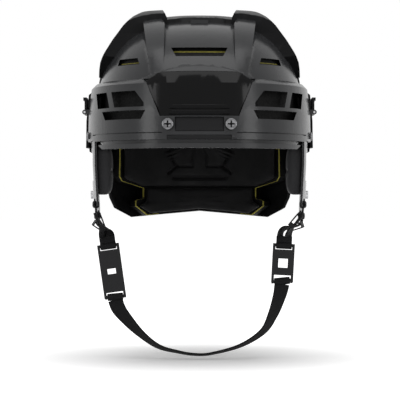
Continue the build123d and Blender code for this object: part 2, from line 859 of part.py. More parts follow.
with BuildPart() as rear_shell:
    add(rear_crown.part)
    add(rear_ridges.part)
    add(ridge_hollow.part, mode=Mode.SUBTRACT)
    add(crown_hollow.part, mode=Mode.SUBTRACT)
    add(rear_skirt.part)
    add(tongue.part)
    for z in back_vent_levels:
        with BuildSketch(Plane.XZ.offset(-back_end)):
            with Locations((back_vent_x, z), (-back_vent_x, z)):
                SlotOverall(back_vent_length, back_vent_height)
        extrude(amount=back_end - ear_edge_y, mode=Mode.SUBTRACT)
    for z in back_slot_levels:
        with BuildSketch(Plane.XZ.offset(-back_end)):
            with Locations((0, z)):
                SlotOverall(back_slot_length, back_slot_height)
        extrude(amount=back_end - ear_edge_y, mode=Mode.SUBTRACT)
    with BuildSketch(Plane.XY.offset(roof_z)):
        with Locations((top_vent_x, top_vent_y), (-top_vent_x, top_vent_y)):
            SlotOverall(top_vent_length, top_vent_width, rotation=90)
    extrude(amount=rear_ledge_z - roof_z, mode=Mode.SUBTRACT)

# Foam liner: a dense base layer in each shell
foam_inner = egg(-foam_inner_side, -foam_inner_end, -foam_inner_end, -foam_inner_top)

with BuildPart() as rack_channels:
    with BuildSketch(Plane.YZ):
        with Locations((rack_middle_y, clamp_z)):
            Rectangle(rack_length + 2 * rack_channel_margin, rack_height + 2 * rack_channel_margin)
    extrude(amount=crown_half_width + overrun, both=True)
    add(even_egg(rack_channel_depth), mode=Mode.SUBTRACT)

with BuildPart() as front_foam:
    add(even_egg(front_foam_depth))
    add(foam_inner, mode=Mode.SUBTRACT)
    split(bisect_by=Plane.XY.offset(front_foam_foot_z), keep=Keep.TOP)
    add(ahead_of_seam(-tongue_overlap - liner_gap), mode=Mode.INTERSECT)
    add(rack_channels.part, mode=Mode.SUBTRACT)


def wing_outline(margin=0.0):
    """The rear pad seen from the front: a tall centre with a wing to each side."""
    half = (
        (0, wing_heel_z), (wing_heel_x, wing_heel_z),
        (wing_half_width - foam_margin, wing_foot_z - foam_margin),
        (wing_half_width + margin, wing_foot_z), (wing_half_width + margin, wing_shoulder_z),
        (wing_top_x, wing_top_z), (0, wing_top_z),
    )
    return mirrored_outline(half)


def occipital_outline():
    """The pad under the back of the head, seen from the front: waisted, with a wide heel."""
    half = (
        (0, occipital_mid_z), (occipital_foot_x, occipital_foot_z), (occipital_heel_x, occipital_heel_z),
        (occipital_top_x, occipital_waist_z), (occipital_top_x, occipital_top_z), (0, occipital_top_z),
    )
    return mirrored_outline(half)


with BuildPart() as rear_foam:
    add(even_egg(rear_foam_depth))
    add(foam_inner, mode=Mode.SUBTRACT)
    foam_half = (
        (0, occipital_mid_z - foam_margin), (occipital_foot_x + foam_margin, occipital_foot_z - foam_margin),
        (occipital_heel_x + foam_margin, occipital_heel_z),
        (occipital_heel_x + foam_margin, occipital_waist_z),
        (occipital_top_x + foam_margin, occipital_waist_z + foam_margin),
        (occipital_top_x + foam_margin, wing_heel_z - foam_margin),
        (wing_half_width, wing_foot_z - 2 * foam_margin), (wing_half_width + foam_margin, wing_foot_z),
        (wing_half_width + foam_margin, front_foam_foot_z),
        (crown_half_width + overrun, front_foam_foot_z), (crown_half_width + overrun, roof_z), (0, roof_z),
    )
    add(front_prism(mirrored_outline(foam_half), front_end, back_end), mode=Mode.INTERSECT)
    add(behind_seam(-tongue_overlap), mode=Mode.INTERSECT)

# Comfort pads: soft cushions on the foam, each cut from one layer and rounded towards the head
with BuildPart() as pad_layer:
    add(
        egg(
            -foam_inner_side - pad_gap, -foam_inner_end - pad_gap, -foam_inner_end - pad_gap,
            -foam_inner_top - pad_gap,
        )
    )
    add(egg(-pad_inner_side, -pad_inner_end, -pad_inner_end, -pad_inner_top), mode=Mode.SUBTRACT)


def inner_edges(pad):
    """The rim of the pad's face that touches the head."""
    return pad.faces().sort_by(SortBy.AREA)[-2:].sort_by(lambda face: face.center().length)[0].edges()


front_pads = {
    "forehead_pad": mirrored_outline((
        (0, forehead_foot_z), (forehead_half_width, forehead_foot_z), (forehead_half_width, forehead_top_z),
        (0, forehead_top_z),
    )),
    "upper_forehead_pad": mirrored_outline((
        (0, upper_pad_foot_z), (upper_pad_half_width, upper_pad_foot_z),
        (upper_pad_half_width, upper_pad_top_z), (0, upper_pad_top_z),
    )),
    "temple_pad_left": [
        (-forehead_half_width - pad_spacing, forehead_foot_z), (-temple_outer_x, forehead_foot_z),
        (-temple_outer_x, forehead_top_z), (-forehead_half_width - pad_spacing, forehead_top_z),
    ],
}
soft_pads = {}
for name, outline in front_pads.items():
    with BuildPart() as pad:
        add(front_prism(outline, front_end, temple_edge_y))
        add(pad_layer.part, mode=Mode.INTERSECT)
        fillet(inner_edges(pad), pad_rounding)
    soft_pads[name] = pad.part

with BuildPart() as temple_pad_right:
    mirror(soft_pads["temple_pad_left"], about=Plane.YZ)
soft_pads["temple_pad_right"] = temple_pad_right.part

with BuildPart() as pad_channels:
    with BuildSketch(Plane.XZ.offset(-pad_start_y)):
        with Locations((0, channel_level_z)):
            SlotOverall(2 * channel_half_length, channel_width)
        with Locations((panel_line_x, panel_line_z), (-panel_line_x, panel_line_z)):
            SlotOverall(channel_rise, panel_line_width, rotation=90)
    extrude(amount=pad_start_y - back_end)
    add(
        egg(
            channel_depth - pad_inner_side, channel_depth - pad_inner_end, channel_depth - pad_inner_end,
            channel_depth - pad_inner_top,
        ),
        mode=Mode.INTERSECT,
    )

with BuildPart() as rear_pad:
    add(pad_layer.part)
    add(front_prism(wing_outline(), pad_start_y, back_end), mode=Mode.INTERSECT)
    add(pad_channels.part, mode=Mode.SUBTRACT)
soft_pads["rear_pad"] = rear_pad.part

with BuildPart() as occipital_pad:
    add(pad_layer.part)
    add(front_prism(occipital_outline(), pad_start_y, back_end), mode=Mode.INTERSECT)
soft_pads["occipital_pad"] = occipital_pad.part

with BuildPart() as crown_pad:
    add(pad_layer.part)
    with BuildSketch(Plane.XY.offset(wing_top_z)):
        for start in (crown_pad_front_y, crown_pad_front_y + crown_pad_length + crown_pad_spacing):
            with Locations((0, start + crown_pad_length / 2)):
                Rectangle(2 * crown_pad_half_width, crown_pad_length)
    extrude(amount=roof_z - wing_top_z, mode=Mode.INTERSECT)
soft_pads["crown_pad"] = crown_pad.part

side_pad_outline = [
    (side_pad_front_y, side_pad_foot_z), (side_pad_back_y, side_pad_foot_z),
    (side_pad_back_y, side_pad_top_z), (side_pad_front_y, side_pad_top_z),
]
for name, side in (("side_pad_left", -1), ("side_pad_right", 1)):
    with BuildPart() as side_pad:
        add(pad_layer.part)
        with BuildSketch(Plane.YZ):
            with BuildLine():
                Polyline(*side_pad_outline, close=True)
            make_face()
        extrude(amount=side * (crown_half_width + overrun), mode=Mode.INTERSECT)
        fillet(inner_edges(side_pad), pad_rounding)
    soft_pads[name] = side_pad.part

ear_pad_top_z = front_foam_foot_z - pad_gap
ear_pad_middle = (ear_pad_front_y + ear_pad_length / 2, (ear_pad_top_z + ear_pad_foot_z) / 2)
ear_pad_levels = (
    (0, ear_pad_draw), (ear_pad_crown_share, 0), (1 - ear_pad_crown_share, 0), (1, 2 * ear_pad_draw),
)
for name, side in (("ear_pad_left", -1), ("ear_pad_right", 1)):
    with BuildPart() as ear_pad:
        for depth_share, draw in ear_pad_levels:
            x = side * (ear_pad_outer_x - ear_pad_thickness * depth_share)
            height = ear_pad_top_z - ear_pad_foot_z - draw
            with BuildSketch(Plane.YZ.offset(x)):
                with Locations(ear_pad_middle):
                    RectangleRounded(ear_pad_length - 2 * draw, height, ear_pad_corner - draw)
        loft(ruled=True)
    soft_pads[name] = ear_pad.part


def guard_half_width(z):
    """Half width of the ear guards' outer face at a height."""
    (top_z, top_x), (middle_z, middle_x), (foot_z, foot_x) = guard_levels
    if z > middle_z:
        return middle_x + (top_x - middle_x) * (z - middle_z) / (top_z - middle_z)
    return foot_x + (middle_x - foot_x) * (z - foot_z) / (middle_z - foot_z)


def guard_plane(side, y, z, inset=0.0):
    """Plane on the ear guard's outer face, turned to its surface and facing out, with its own Y upright."""
    here = flank_x(guard_half_width(z), guard_reach_extra, y)
    ahead = flank_x(guard_half_width(z), guard_reach_extra, y + slope_step)
    behind = flank_x(guard_half_width(z), guard_reach_extra, y - slope_step)
    outward = Vector(side, 0, 0) - Vector(0, (ahead - behind) / (2 * slope_step), 0)
    outward = outward.normalized()
    origin = Vector(side * here, y, z) - outward * inset
    return Plane(origin=origin, x_dir=(-outward.Y, outward.X, 0), z_dir=outward)


def guard_outline(shares):
    return [(guard_front_y + guard_length * u, guard_foot_z + guard_height * v) for u, v in shares]


guards = {}
for name, side in (("ear_guard_left", -1), ("ear_guard_right", 1)):
    with BuildPart() as ear_guard:
        outer_levels = []
        inner_levels = []
        front_reach = crown_front_reach + guard_reach_extra
        back_reach = crown_back_reach + guard_reach_extra
        for z, half_width in guard_levels:
            outer_levels.append((z, half_width, front_reach, back_reach))
            inner_levels.append((
                z, half_width - guard_wall, front_reach - guard_wall, back_reach - guard_wall,
            ))
        add(level_loft(outer_levels, ruled=True))
        add(level_loft(inner_levels, ruled=True), mode=Mode.SUBTRACT)
        with BuildSketch(Plane.YZ):
            with BuildLine():
                Polyline(*guard_outline(guard_outline_shares), close=True)
            make_face()
            with BuildLine():
                Polyline(*guard_outline(guard_window_shares), close=True)
            make_face(mode=Mode.SUBTRACT)
            for lobe_y, lobe_foot_z in ((front_lobe_y, front_lobe_foot_z), (rear_lobe_y, rear_lobe_foot_z)):
                with Locations((lobe_y, lobe_foot_z + lobe_bar_height + lobe_slot_height / 2)):
                    SlotOverall(lobe_slot_length, lobe_slot_height, mode=Mode.SUBTRACT)
            with Locations((stud_y, stud_z)):
                Circle(stud_shank_radius + screw_clearance, mode=Mode.SUBTRACT)
            for y in guard_screw_ys:
                with Locations((y, guard_screw_z)):
                    Circle(guard_screw_shank_radius + screw_clearance, mode=Mode.SUBTRACT)
        extrude(amount=side * (crown_half_width + overrun), mode=Mode.INTERSECT)
    guards[name] = ear_guard.part

with BuildPart() as ear_guard_screws:
    for side in (-1, 1):
        for y in guard_screw_ys:
            face = flank_plane(side, y, guard_screw_z)
            with BuildSketch(face.offset(screw_seat_gap)):
                Circle(guard_screw_radius)
            extrude(amount=guard_screw_head, taper=screw_head_taper)
            with BuildSketch(face.offset(screw_seat_gap)):
                Circle(guard_screw_shank_radius)
            extrude(amount=-guard_screw_shank_length)
            with BuildSketch(face.offset(screw_seat_gap + guard_screw_head)):
                Rectangle(guard_screw_radius, screw_recess_width / 2)
                Rectangle(screw_recess_width / 2, guard_screw_radius)
            extrude(amount=-guard_screw_head / 2, mode=Mode.SUBTRACT)

with BuildPart() as ear_guard_nuts:
    for side in (-1, 1):
        for y in guard_screw_ys:
            inner_reach = guard_reach_extra - guard_wall
            wall_x = flank_x(guard_half_width(guard_screw_z) - guard_wall, inner_reach, y - guard_nut_radius)
            with BuildSketch(sideways_plane(side, wall_x - screw_seat_gap, y, guard_screw_z)):
                RegularPolygon(guard_nut_radius, 6)
                Circle(guard_screw_shank_radius + lever_bore_clearance, mode=Mode.SUBTRACT)
            extrude(amount=-guard_nut_height)

stud_seat_x = flank_x(guard_half_width(stud_z), guard_reach_extra, stud_y - stud_base_radius) + stud_seat_gap
with BuildPart() as cage_snap_studs:
    for side in (-1, 1):
        face = sideways_plane(side, stud_seat_x, stud_y, stud_z)
        with BuildSketch(face):
            Circle(stud_base_radius)
        extrude(amount=stud_base_height)
        with BuildSketch(face.offset(stud_base_height)):
            Circle(stud_radius)
        extrude(amount=stud_length)
        with BuildSketch(face):
            Circle(stud_shank_radius)
        extrude(amount=-(guard_wall + 2 * stud_seat_gap + stud_base_height))

# Locking levers, their pins, the clamps that they free and the racks on the tongue
def rack_form(depth, height):
    """Ruled form round the tongue at the rack's level."""
    levels = [clamp_z - height / 2, clamp_z + height / 2]
    return level_loft([(z, *section(z, -depth, -depth, -depth, -depth)) for z in levels], ruled=True)


rack_tooth_count = int(rack_length / rack_tooth_pitch)

with BuildPart() as rack_gaps:
    with BuildSketch(Plane.YZ):
        with Locations((rack_middle_y, clamp_z)):
            with GridLocations(rack_tooth_pitch, 0, rack_tooth_count, 1):
                Rectangle(rack_tooth_pitch * rack_tooth_share, 2 * rack_height)
    extrude(amount=crown_half_width + overrun, both=True)
    add(rack_form(rack_depth + rack_tooth_height, rack_cut_height), mode=Mode.SUBTRACT)

with BuildPart() as rack_ring:
    add(rack_form(rack_depth, rack_height))
    add(rack_form(tongue_depth - rack_seat, rack_height), mode=Mode.SUBTRACT)
    add(rack_gaps.part, mode=Mode.SUBTRACT)

lever_back_x = lever_pivot_x - lever_hub_radius
lever_plate_x = lever_back_x + lever_thickness / 2
lever_tab_x = lever_back_x + lever_thickness + lever_tab_proud / 2
lever_tab_z = lever_pivot_z + lever_height - lever_tab_height / 2
levers = {}
for name, side in (("left", -1), ("right", 1)):
    with BuildPart() as lever:
        with BuildSketch(Plane.XZ.offset(-(lever_y + lever_length / 2))):
            with Locations((side * lever_pivot_x, lever_pivot_z)):
                Circle(lever_hub_radius)
            with Locations((side * lever_plate_x, lever_pivot_z + lever_height / 2)):
                Rectangle(lever_thickness, lever_height)
            with Locations((side * lever_tab_x, lever_tab_z)):
                Rectangle(lever_tab_proud, lever_tab_height)
            with Locations((side * lever_pivot_x, lever_pivot_z)):
                Circle(lever_pin_radius + lever_bore_clearance, mode=Mode.SUBTRACT)
        extrude(amount=lever_length)
    levers["lever_" + name] = lever.part
    with BuildPart() as lever_pin:
        with BuildSketch(Plane.XZ.offset(-lug_ys[1])):
            with Locations((side * lever_pivot_x, lever_pivot_z)):
                Circle(lever_pin_radius)
        extrude(amount=lug_ys[1] - lug_ys[0] + lug_width)
    levers["lever_pin_" + name] = lever_pin.part
    with BuildPart() as clamp:
        with BuildSketch(sideways_plane(side, clamp_inner_x, lever_y, clamp_z)):
            Rectangle(clamp_length, clamp_height)
        extrude(amount=clamp_outer_x - clamp_inner_x)
    levers["clamp_" + name] = clamp.part
    with BuildPart() as rack:
        add(rack_ring.part)
        with BuildSketch(Plane.YZ):
            with Locations((rack_middle_y, clamp_z)):
                Rectangle(rack_length, rack_height)
        extrude(amount=side * (crown_half_width + overrun), mode=Mode.INTERSECT)
    levers["rack_" + name] = rack.part


def ribbon(stations, width, thickness):
    """Webbing lofted through stations, each a centre, a direction of travel and a direction across."""
    with BuildPart() as strap:
        for centre, travel, across in stations:
            with BuildSketch(Plane(origin=centre, x_dir=across, z_dir=travel)):
                Rectangle(width, thickness)
        loft()
    return strap.part


def leaning(angle):
    """Across and up directions of a yoke whose top leans to the left by an angle."""
    lean = radians(angle)
    return Vector(cos(lean), 0, sin(lean)), Vector(-sin(lean), 0, cos(lean))


def smooth_curve(handles, share):
    """Place and direction of travel at a share of the way along the smooth curve that the handles give."""
    points = list(handles)
    while len(points) > 1:
        travel = points[-1] - points[0]
        points = [start + (end - start) * share for start, end in zip(points, points[1:])]
    return points[0], travel


def leg_stations(side, lobe_y, lobe_foot_z, joint, across_end, up, ply):
    """Stations of one leg, from the ear guard's lobe in a smooth bend to the joint above the yoke."""
    lobe = guard_plane(side, lobe_y, lobe_foot_z, guard_wall / 2)
    start = lobe.origin - Vector(0, 0, loop_clearance + webbing_thickness / 2)
    end = joint + Vector(0, ply, 0)
    handles = (start, start - Vector(0, 0, leg_bend), end + up * leg_bend, end)
    across_start = Vector(0, 1, 0)
    stations = []
    for step in range(leg_step_count + 1):
        share = step / leg_step_count
        centre, travel = smooth_curve(handles, share)
        turn = max(0.0, (share - leg_straight_share) / (1 - leg_straight_share))
        across = across_start * (1 - turn) + across_end * turn
        stations.append((centre, travel, across))
    return stations


left_bar = Vector(left_yoke_x, strap_y, left_yoke_z)
right_bar = Vector(right_yoke_x, strap_y, right_yoke_z)
swing_axis = (right_bar - left_bar).normalized()
ring_radius = bar_radius + loop_clearance + webbing_thickness
yokes = {}
yoke_rows = (
    ("left", -1, left_bar, left_yoke_length, left_yoke_lean, left_yoke_window),
    ("right", 1, right_bar, right_yoke_length, right_yoke_lean, right_yoke_window),
)
keeper_stations = []
ply_offset = (webbing_thickness + ply_gap) / 2
leg_rows = (
    (front_lobe_y, front_lobe_foot_z, -ply_offset),
    (rear_lobe_y, rear_lobe_foot_z, ply_offset),
)
loop_space = loop_clearance + webbing_thickness
for name, side, bar, length, lean, window in yoke_rows:
    across, up = leaning(lean)
    top_bar = bar + up * length
    half_width = webbing_width / 2 + yoke_play + yoke_rim
    bar_slant = half_width * abs(swing_axis.dot(up))
    ring_room = ring_radius + yoke_play
    with BuildPart() as yoke:
        with BuildSketch(Plane(origin=bar + up * (length / 2), x_dir=across, z_dir=(0, -1, 0))):
            RectangleRounded(2 * half_width, length + 2 * bar_radius, bar_radius)
            with Locations((0, length / 2)):
                Rectangle(webbing_width + 2 * yoke_play, 2 * ring_room, mode=Mode.SUBTRACT)
            with Locations((0, -length / 2)):
                Rectangle(webbing_width + 2 * yoke_play, 2 * (ring_room + bar_slant), mode=Mode.SUBTRACT)
            Rectangle(*window, mode=Mode.SUBTRACT)
        extrude(amount=yoke_thickness / 2, both=True)
        with BuildSketch(Plane(origin=bar, x_dir=(0, 1, 0), z_dir=swing_axis)):
            Circle(bar_radius)
        extrude(amount=half_width, both=True)
        with BuildSketch(Plane(origin=top_bar, x_dir=(0, 1, 0), z_dir=across)):
            Circle(bar_radius)
        extrude(amount=half_width, both=True)
    yokes["yoke_" + name] = yoke.part
    joint = top_bar + up * (ring_radius + patch_length / 2)
    with BuildPart() as legs:
        for lobe_y, lobe_foot_z, ply in leg_rows:
            stations = leg_stations(side, lobe_y, lobe_foot_z, joint, across, up, ply)
            add(ribbon(stations, leg_width - seam_allowance, webbing_thickness))
            keeper_stations.append(stations)
            lobe = guard_plane(side, lobe_y, lobe_foot_z + lobe_bar_height / 2, guard_wall / 2)
            with BuildSketch(Plane(origin=lobe.origin, x_dir=lobe.z_dir, z_dir=lobe.x_dir)):
                Rectangle(guard_wall + 2 * loop_space, lobe_bar_height + 2 * loop_space)
                Rectangle(
                    guard_wall + 2 * loop_clearance, lobe_bar_height + 2 * loop_clearance, mode=Mode.SUBTRACT
                )
            extrude(amount=leg_width / 2, both=True)
        with BuildSketch(Plane(origin=joint, x_dir=across, z_dir=(0, -1, 0))):
            with Locations((0, -webbing_thickness / 2)):
                Rectangle(webbing_width, patch_length + webbing_thickness)
        extrude(amount=webbing_thickness + patch_bulge, both=True)
        with BuildSketch(Plane(origin=top_bar, x_dir=(0, 1, 0), z_dir=across)):
            Circle(ring_radius)
        extrude(amount=webbing_width / 2, both=True)
        with BuildSketch(Plane(origin=top_bar, x_dir=(0, 1, 0), z_dir=across)):
            Circle(bar_radius + loop_clearance)
        extrude(amount=webbing_width, both=True, mode=Mode.SUBTRACT)
    yokes["leg_straps_" + name] = legs.part

keeper_outset = keeper_gap + keeper_wall
with BuildPart() as strap_keepers:
    for stations in keeper_stations:
        low, high = stations[keeper_step], stations[keeper_step + 1]
        middle = (low[0] + high[0]) * 0.5
        with BuildSketch(Plane(origin=middle, x_dir=low[2], z_dir=high[0] - low[0])):
            Rectangle(leg_width + 2 * keeper_outset, webbing_thickness + 2 * keeper_outset)
            Rectangle(leg_width + 2 * keeper_gap, webbing_thickness + 2 * keeper_gap, mode=Mode.SUBTRACT)
        extrude(amount=keeper_height / 2, both=True)

# Chin strap: one band of webbing that hangs between the yokes and turns edge on under the chin
with BuildPart() as chin_strap:
    span = right_bar - left_bar
    centres = []
    for across_share, drop_share in zip(chin_across_shares, chin_drop_shares):
        centres.append(left_bar + span * across_share - Vector(0, 0, chin_drop * drop_share))
    stations = []
    last = len(centres) - 1
    for index, (centre, angle) in enumerate(zip(centres, chin_twist_angles)):
        travel = centres[min(index + 1, last)] - centres[max(index - 1, 0)]
        flat = Vector(0, 1, 0).cross(travel).normalized()
        across = flat * cos(radians(angle)) + Vector(0, 1, 0) * sin(radians(angle))
        stations.append((centre, travel, across))
    add(ribbon(stations[1:-1], webbing_width - seam_allowance, webbing_thickness))
    for bar in (left_bar, right_bar):
        with BuildSketch(Plane(origin=bar, x_dir=(0, 1, 0), z_dir=swing_axis)):
            Circle(ring_radius)
        extrude(amount=webbing_width / 2, both=True)
    for bar in (left_bar, right_bar):
        with BuildSketch(Plane(origin=bar, x_dir=(0, 1, 0), z_dir=swing_axis)):
            Circle(bar_radius + loop_clearance)
        extrude(amount=webbing_width, both=True, mode=Mode.SUBTRACT)

# Every piece, by the name of its node
pieces = {
    "front_shell": front_shell.part,
    "brow_panel": brow_panel.part,
    "brow_trim": brow_trim.part,
    "visor_screws": visor_screws.part,
    "visor_nuts": visor_nuts.part,
    "rear_shell": rear_shell.part,
    "front_foam": front_foam.part,
    "rear_foam": rear_foam.part,
    "ear_guard_screws": ear_guard_screws.part,
    "ear_guard_nuts": ear_guard_nuts.part,
    "cage_snap_studs": cage_snap_studs.part,
    "strap_keepers": strap_keepers.part,
    "chin_strap": chin_strap.part,
}
pieces.update(soft_pads)
pieces.update(guards)
pieces.update(levers)
pieces.update(yokes)

os.makedirs("parts", exist_ok=True)
for name, piece in pieces.items():
    piece.label = name
    export_step(piece, "parts/" + name + ".step")
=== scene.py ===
import math

import bmesh
import bpy
import numpy as np
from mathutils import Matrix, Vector


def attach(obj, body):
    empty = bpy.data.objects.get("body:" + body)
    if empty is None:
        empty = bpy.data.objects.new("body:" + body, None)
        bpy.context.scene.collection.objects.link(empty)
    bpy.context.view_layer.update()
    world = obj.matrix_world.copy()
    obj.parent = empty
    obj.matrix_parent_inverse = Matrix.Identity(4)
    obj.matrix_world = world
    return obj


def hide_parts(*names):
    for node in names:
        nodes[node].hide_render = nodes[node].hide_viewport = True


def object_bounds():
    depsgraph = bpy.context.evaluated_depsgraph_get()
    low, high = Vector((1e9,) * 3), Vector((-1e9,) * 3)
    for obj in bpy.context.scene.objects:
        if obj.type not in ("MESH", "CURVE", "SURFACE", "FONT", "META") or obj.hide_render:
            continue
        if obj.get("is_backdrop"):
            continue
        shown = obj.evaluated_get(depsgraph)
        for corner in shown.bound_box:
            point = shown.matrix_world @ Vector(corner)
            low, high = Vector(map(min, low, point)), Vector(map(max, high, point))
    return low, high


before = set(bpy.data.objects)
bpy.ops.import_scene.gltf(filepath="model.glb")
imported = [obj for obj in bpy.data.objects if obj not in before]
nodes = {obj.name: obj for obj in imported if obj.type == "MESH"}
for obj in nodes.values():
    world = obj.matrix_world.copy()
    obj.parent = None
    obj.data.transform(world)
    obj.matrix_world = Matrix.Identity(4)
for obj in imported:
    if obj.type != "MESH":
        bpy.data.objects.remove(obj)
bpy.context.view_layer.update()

scene = bpy.context.scene
scene.view_settings.view_transform = "Standard"
print("frame loaded:", len(nodes), "nodes")

# Camera: level, straight at the face, a little below the brow
cameraSpec = {"distance": 1.8, "height": -0.043, "aside": 0.0005, "lens": 170.6}
camera = bpy.data.objects.new("photoCamera", bpy.data.cameras.new("photoCamera"))
scene.collection.objects.link(camera)
camera.location = (cameraSpec["aside"], -cameraSpec["distance"], cameraSpec["height"])
camera.rotation_euler = (math.pi / 2, 0, 0)
camera.data.lens = cameraSpec["lens"]
camera.data.sensor_width = 36
camera.data.clip_start = 0.05
camera.data.clip_end = 60
scene.camera = camera

# The helmet's form, in metres: an egg that shells, liner and pads all follow
crown = {
    "halfWidth": 0.099, "frontReach": 0.148, "backReach": 0.118, "widestY": 0.020, "equatorZ": 0.005,
    "height": 0.123, "skirtDepth": 0.076, "squareness": 3.0, "profile": 2.4, "plan": 2.4,
    "widthLoss": 0.2, "backLoss": 0.13, "searchFrom": 0.03, "halvings": 40,
}


def signedPower(value, power):
    return np.sign(value) * np.abs(value) ** power


def crownSection(z, inset):
    # Half width, front reach and back reach at height z, drawn in by (side, end, top):
    # superellipses above the equator, a gentle taper below it
    side, end, top = inset
    rise = np.clip((z - crown["equatorZ"]) / (crown["height"] - top), 0, 1)
    drop = np.clip((crown["equatorZ"] - z) / crown["skirtDepth"], 0, 1)
    across = (1 - rise ** crown["squareness"]) ** (1 / crown["squareness"])
    along = (1 - rise ** crown["profile"]) ** (1 / crown["profile"])
    narrow = 1 - crown["widthLoss"] * drop**2
    halfWidth = (crown["halfWidth"] - side) * across * narrow
    front = (crown["frontReach"] - end) * along * narrow
    back = (crown["backReach"] - end) * along * (1 - crown["backLoss"] * drop**2)
    return halfWidth, front, back


def endPoint(turn, z, inset, back):
    # x is the half width times the sine of the turn, y the superellipse that goes with it
    halfWidth, frontReach, backReach = crownSection(z, inset)
    reach = backReach if back else -frontReach
    across = np.sin(turn)
    along = (1 - np.abs(across) ** crown["plan"]) ** (1 / crown["plan"])
    return np.stack([halfWidth * across, crown["widestY"] + reach * along, z + 0 * turn], -1)


def flankPoint(y, z, inset, side):
    # x from the superellipse at a place along the helmet
    halfWidth, frontReach, backReach = crownSection(z, inset)
    reach = np.where(y > crown["widestY"], backReach, frontReach)
    along = np.clip(np.abs(y - crown["widestY"]) / reach, 0, 1)
    x = side * halfWidth * (1 - along ** crown["plan"]) ** (1 / crown["plan"])
    return np.stack([x, y + 0 * z, z + 0 * y], -1)


def topPoint(x, y, inset):
    # z by halving: the height at which the plan curve runs through x and y
    low = np.full(np.shape(x), crown["searchFrom"])
    high = np.full(np.shape(x), crown["equatorZ"] + crown["height"] - inset[2])
    for _ in range(crown["halvings"]):
        z = (low + high) / 2
        halfWidth, front, back = crownSection(z, inset)
        reach = np.where(y > crown["widestY"], back, front)
        inside = (np.abs(x) / np.maximum(halfWidth, 1e-6)) ** crown["plan"] + (
            np.abs(y - crown["widestY"]) / np.maximum(reach, 1e-6)) ** crown["plan"] < 1
        low, high = np.where(inside, z, low), np.where(inside, high, z)
    return np.stack([x, y, low], -1)


def turnAt(x, z, inset):
    return np.arcsin(np.clip(x / crownSection(z, inset)[0], -0.999, 0.999))


# Meshes from whole arrays

def meshObject(name, points, faces, uv=None, sharp=40):
    mesh = bpy.data.meshes.new(name)
    mesh.from_pydata(points.reshape(-1, 3).tolist(), [], faces)
    mesh.polygons.foreach_set("use_smooth", np.ones(len(mesh.polygons), bool))
    if uv is not None:
        layer = mesh.uv_layers.new(name="UVMap")
        corner = np.empty(len(mesh.loops), np.int32)
        mesh.loops.foreach_get("vertex_index", corner)
        layer.data.foreach_set("uv", uv.reshape(-1, 2)[corner].astype(np.float32).ravel())
    mesh.set_sharp_from_angle(angle=math.radians(sharp))
    mesh.update()
    piece = bpy.data.objects.new(name, mesh)
    scene.collection.objects.link(piece)
    return piece


def gridFaces(rows, columns, closedRows=False, closedColumns=False):
    # Quads between neighbouring rows and columns of a grid, joined round where it is closed
    i, j = np.meshgrid(
        np.arange(rows if closedRows else rows - 1), np.arange(columns if closedColumns else columns - 1),
        indexing="ij")
    nextI, nextJ = (i + 1) % rows, (j + 1) % columns
    corners = [i * columns + j, i * columns + nextJ, nextI * columns + nextJ, nextI * columns + j]
    return np.stack(corners, -1).reshape(-1, 4)


def signedVolume(points, faces):
    # Positive where the faces point outwards: each quad's two triangles with the origin
    a, b, c, d = (points[faces[:, k]] for k in range(4))
    return (np.einsum("ij,ij->i", a, np.cross(b, c)) + np.einsum("ij,ij->i", a, np.cross(c, d))).sum()


def closedTube(name, rings, uv=None, sharp=40, loop=False):
    # Rings (n, m, 3) joined one after the other; the first and last are closed by fans to their middles
    n, m = rings.shape[:2]
    points = rings.reshape(-1, 3)
    quads = gridFaces(n, m, closedRows=loop, closedColumns=True)
    flip = signedVolume(points, quads) < 0
    if flip:
        quads = quads[:, ::-1]
    faces = quads.tolist()
    if uv is not None:
        uv = uv.reshape(-1, 2)
    if not loop:
        k = np.arange(m)
        first, last = n * m, n * m + 1
        points = np.concatenate([points, rings[0].mean(0)[None], rings[-1].mean(0)[None]])
        if uv is not None:
            uv = np.concatenate([uv, uv[:m].mean(0)[None], uv[-m:].mean(0)[None]])
        start = np.stack([np.full(m, first), (k + 1) % m, k], -1)
        end = np.stack([np.full(m, last), (n - 1) * m + k, (n - 1) * m + (k + 1) % m], -1)
        if flip:
            start, end = start[:, ::-1], end[:, ::-1]
        faces += start.tolist() + end.tolist()
    return meshObject(name, points, faces, uv, sharp)


def roundedOutline(corners, radius, count):
    # A closed outline whose corners are quadratic curves, with its points spread evenly along it
    corners = np.array(corners, float)
    before, after = np.roll(corners, 1, 0), np.roll(corners, -1, 0)
    toBefore, toAfter = before - corners, after - corners
    lengthBefore = np.linalg.norm(toBefore, axis=1, keepdims=True)
    lengthAfter = np.linalg.norm(toAfter, axis=1, keepdims=True)
    start = corners + toBefore / lengthBefore * np.minimum(radius, lengthBefore * 0.45)
    end = corners + toAfter / lengthAfter * np.minimum(radius, lengthAfter * 0.45)
    t = np.linspace(0, 1, 9)[None, :, None]
    curve = start[:, None] * (1 - t) ** 2 + 2 * corners[:, None] * t * (1 - t) + end[:, None] * t**2
    curve = curve.reshape(-1, 2)
    closed = np.concatenate([curve, curve[:1]])
    run = np.concatenate([[0], np.cumsum(np.linalg.norm(np.diff(closed, axis=0), axis=1))])
    places = np.linspace(0, run[-1], count, endpoint=False)
    return np.stack([np.interp(places, run, closed[:, k]) for k in (0, 1)], -1)


def distanceToLine(points, line):
    # Distance from each point to the nearest run of a line of points
    line = np.array(line, float)
    best = np.full(points.shape[:-1], 9.0)
    for start, end in zip(line[:-1], line[1:]):
        run = end - start
        share = np.clip(((points - start) @ run) / (run @ run), 0, 1)
        best = np.minimum(best, np.linalg.norm(points - start - share[..., None] * run, axis=-1))
    return best


# Materials

def nodeTools(tree):
    links = tree.links

    def put(kind, inputs=None, **settings):
        node = tree.nodes.new(kind)
        for key, value in settings.items():
            setattr(node, key, value)
        for key, value in (inputs or {}).items():
            if hasattr(value, "is_output"):
                links.new(value, node.inputs[key])
            else:
                node.inputs[key].default_value = value
        return node

    return put, links


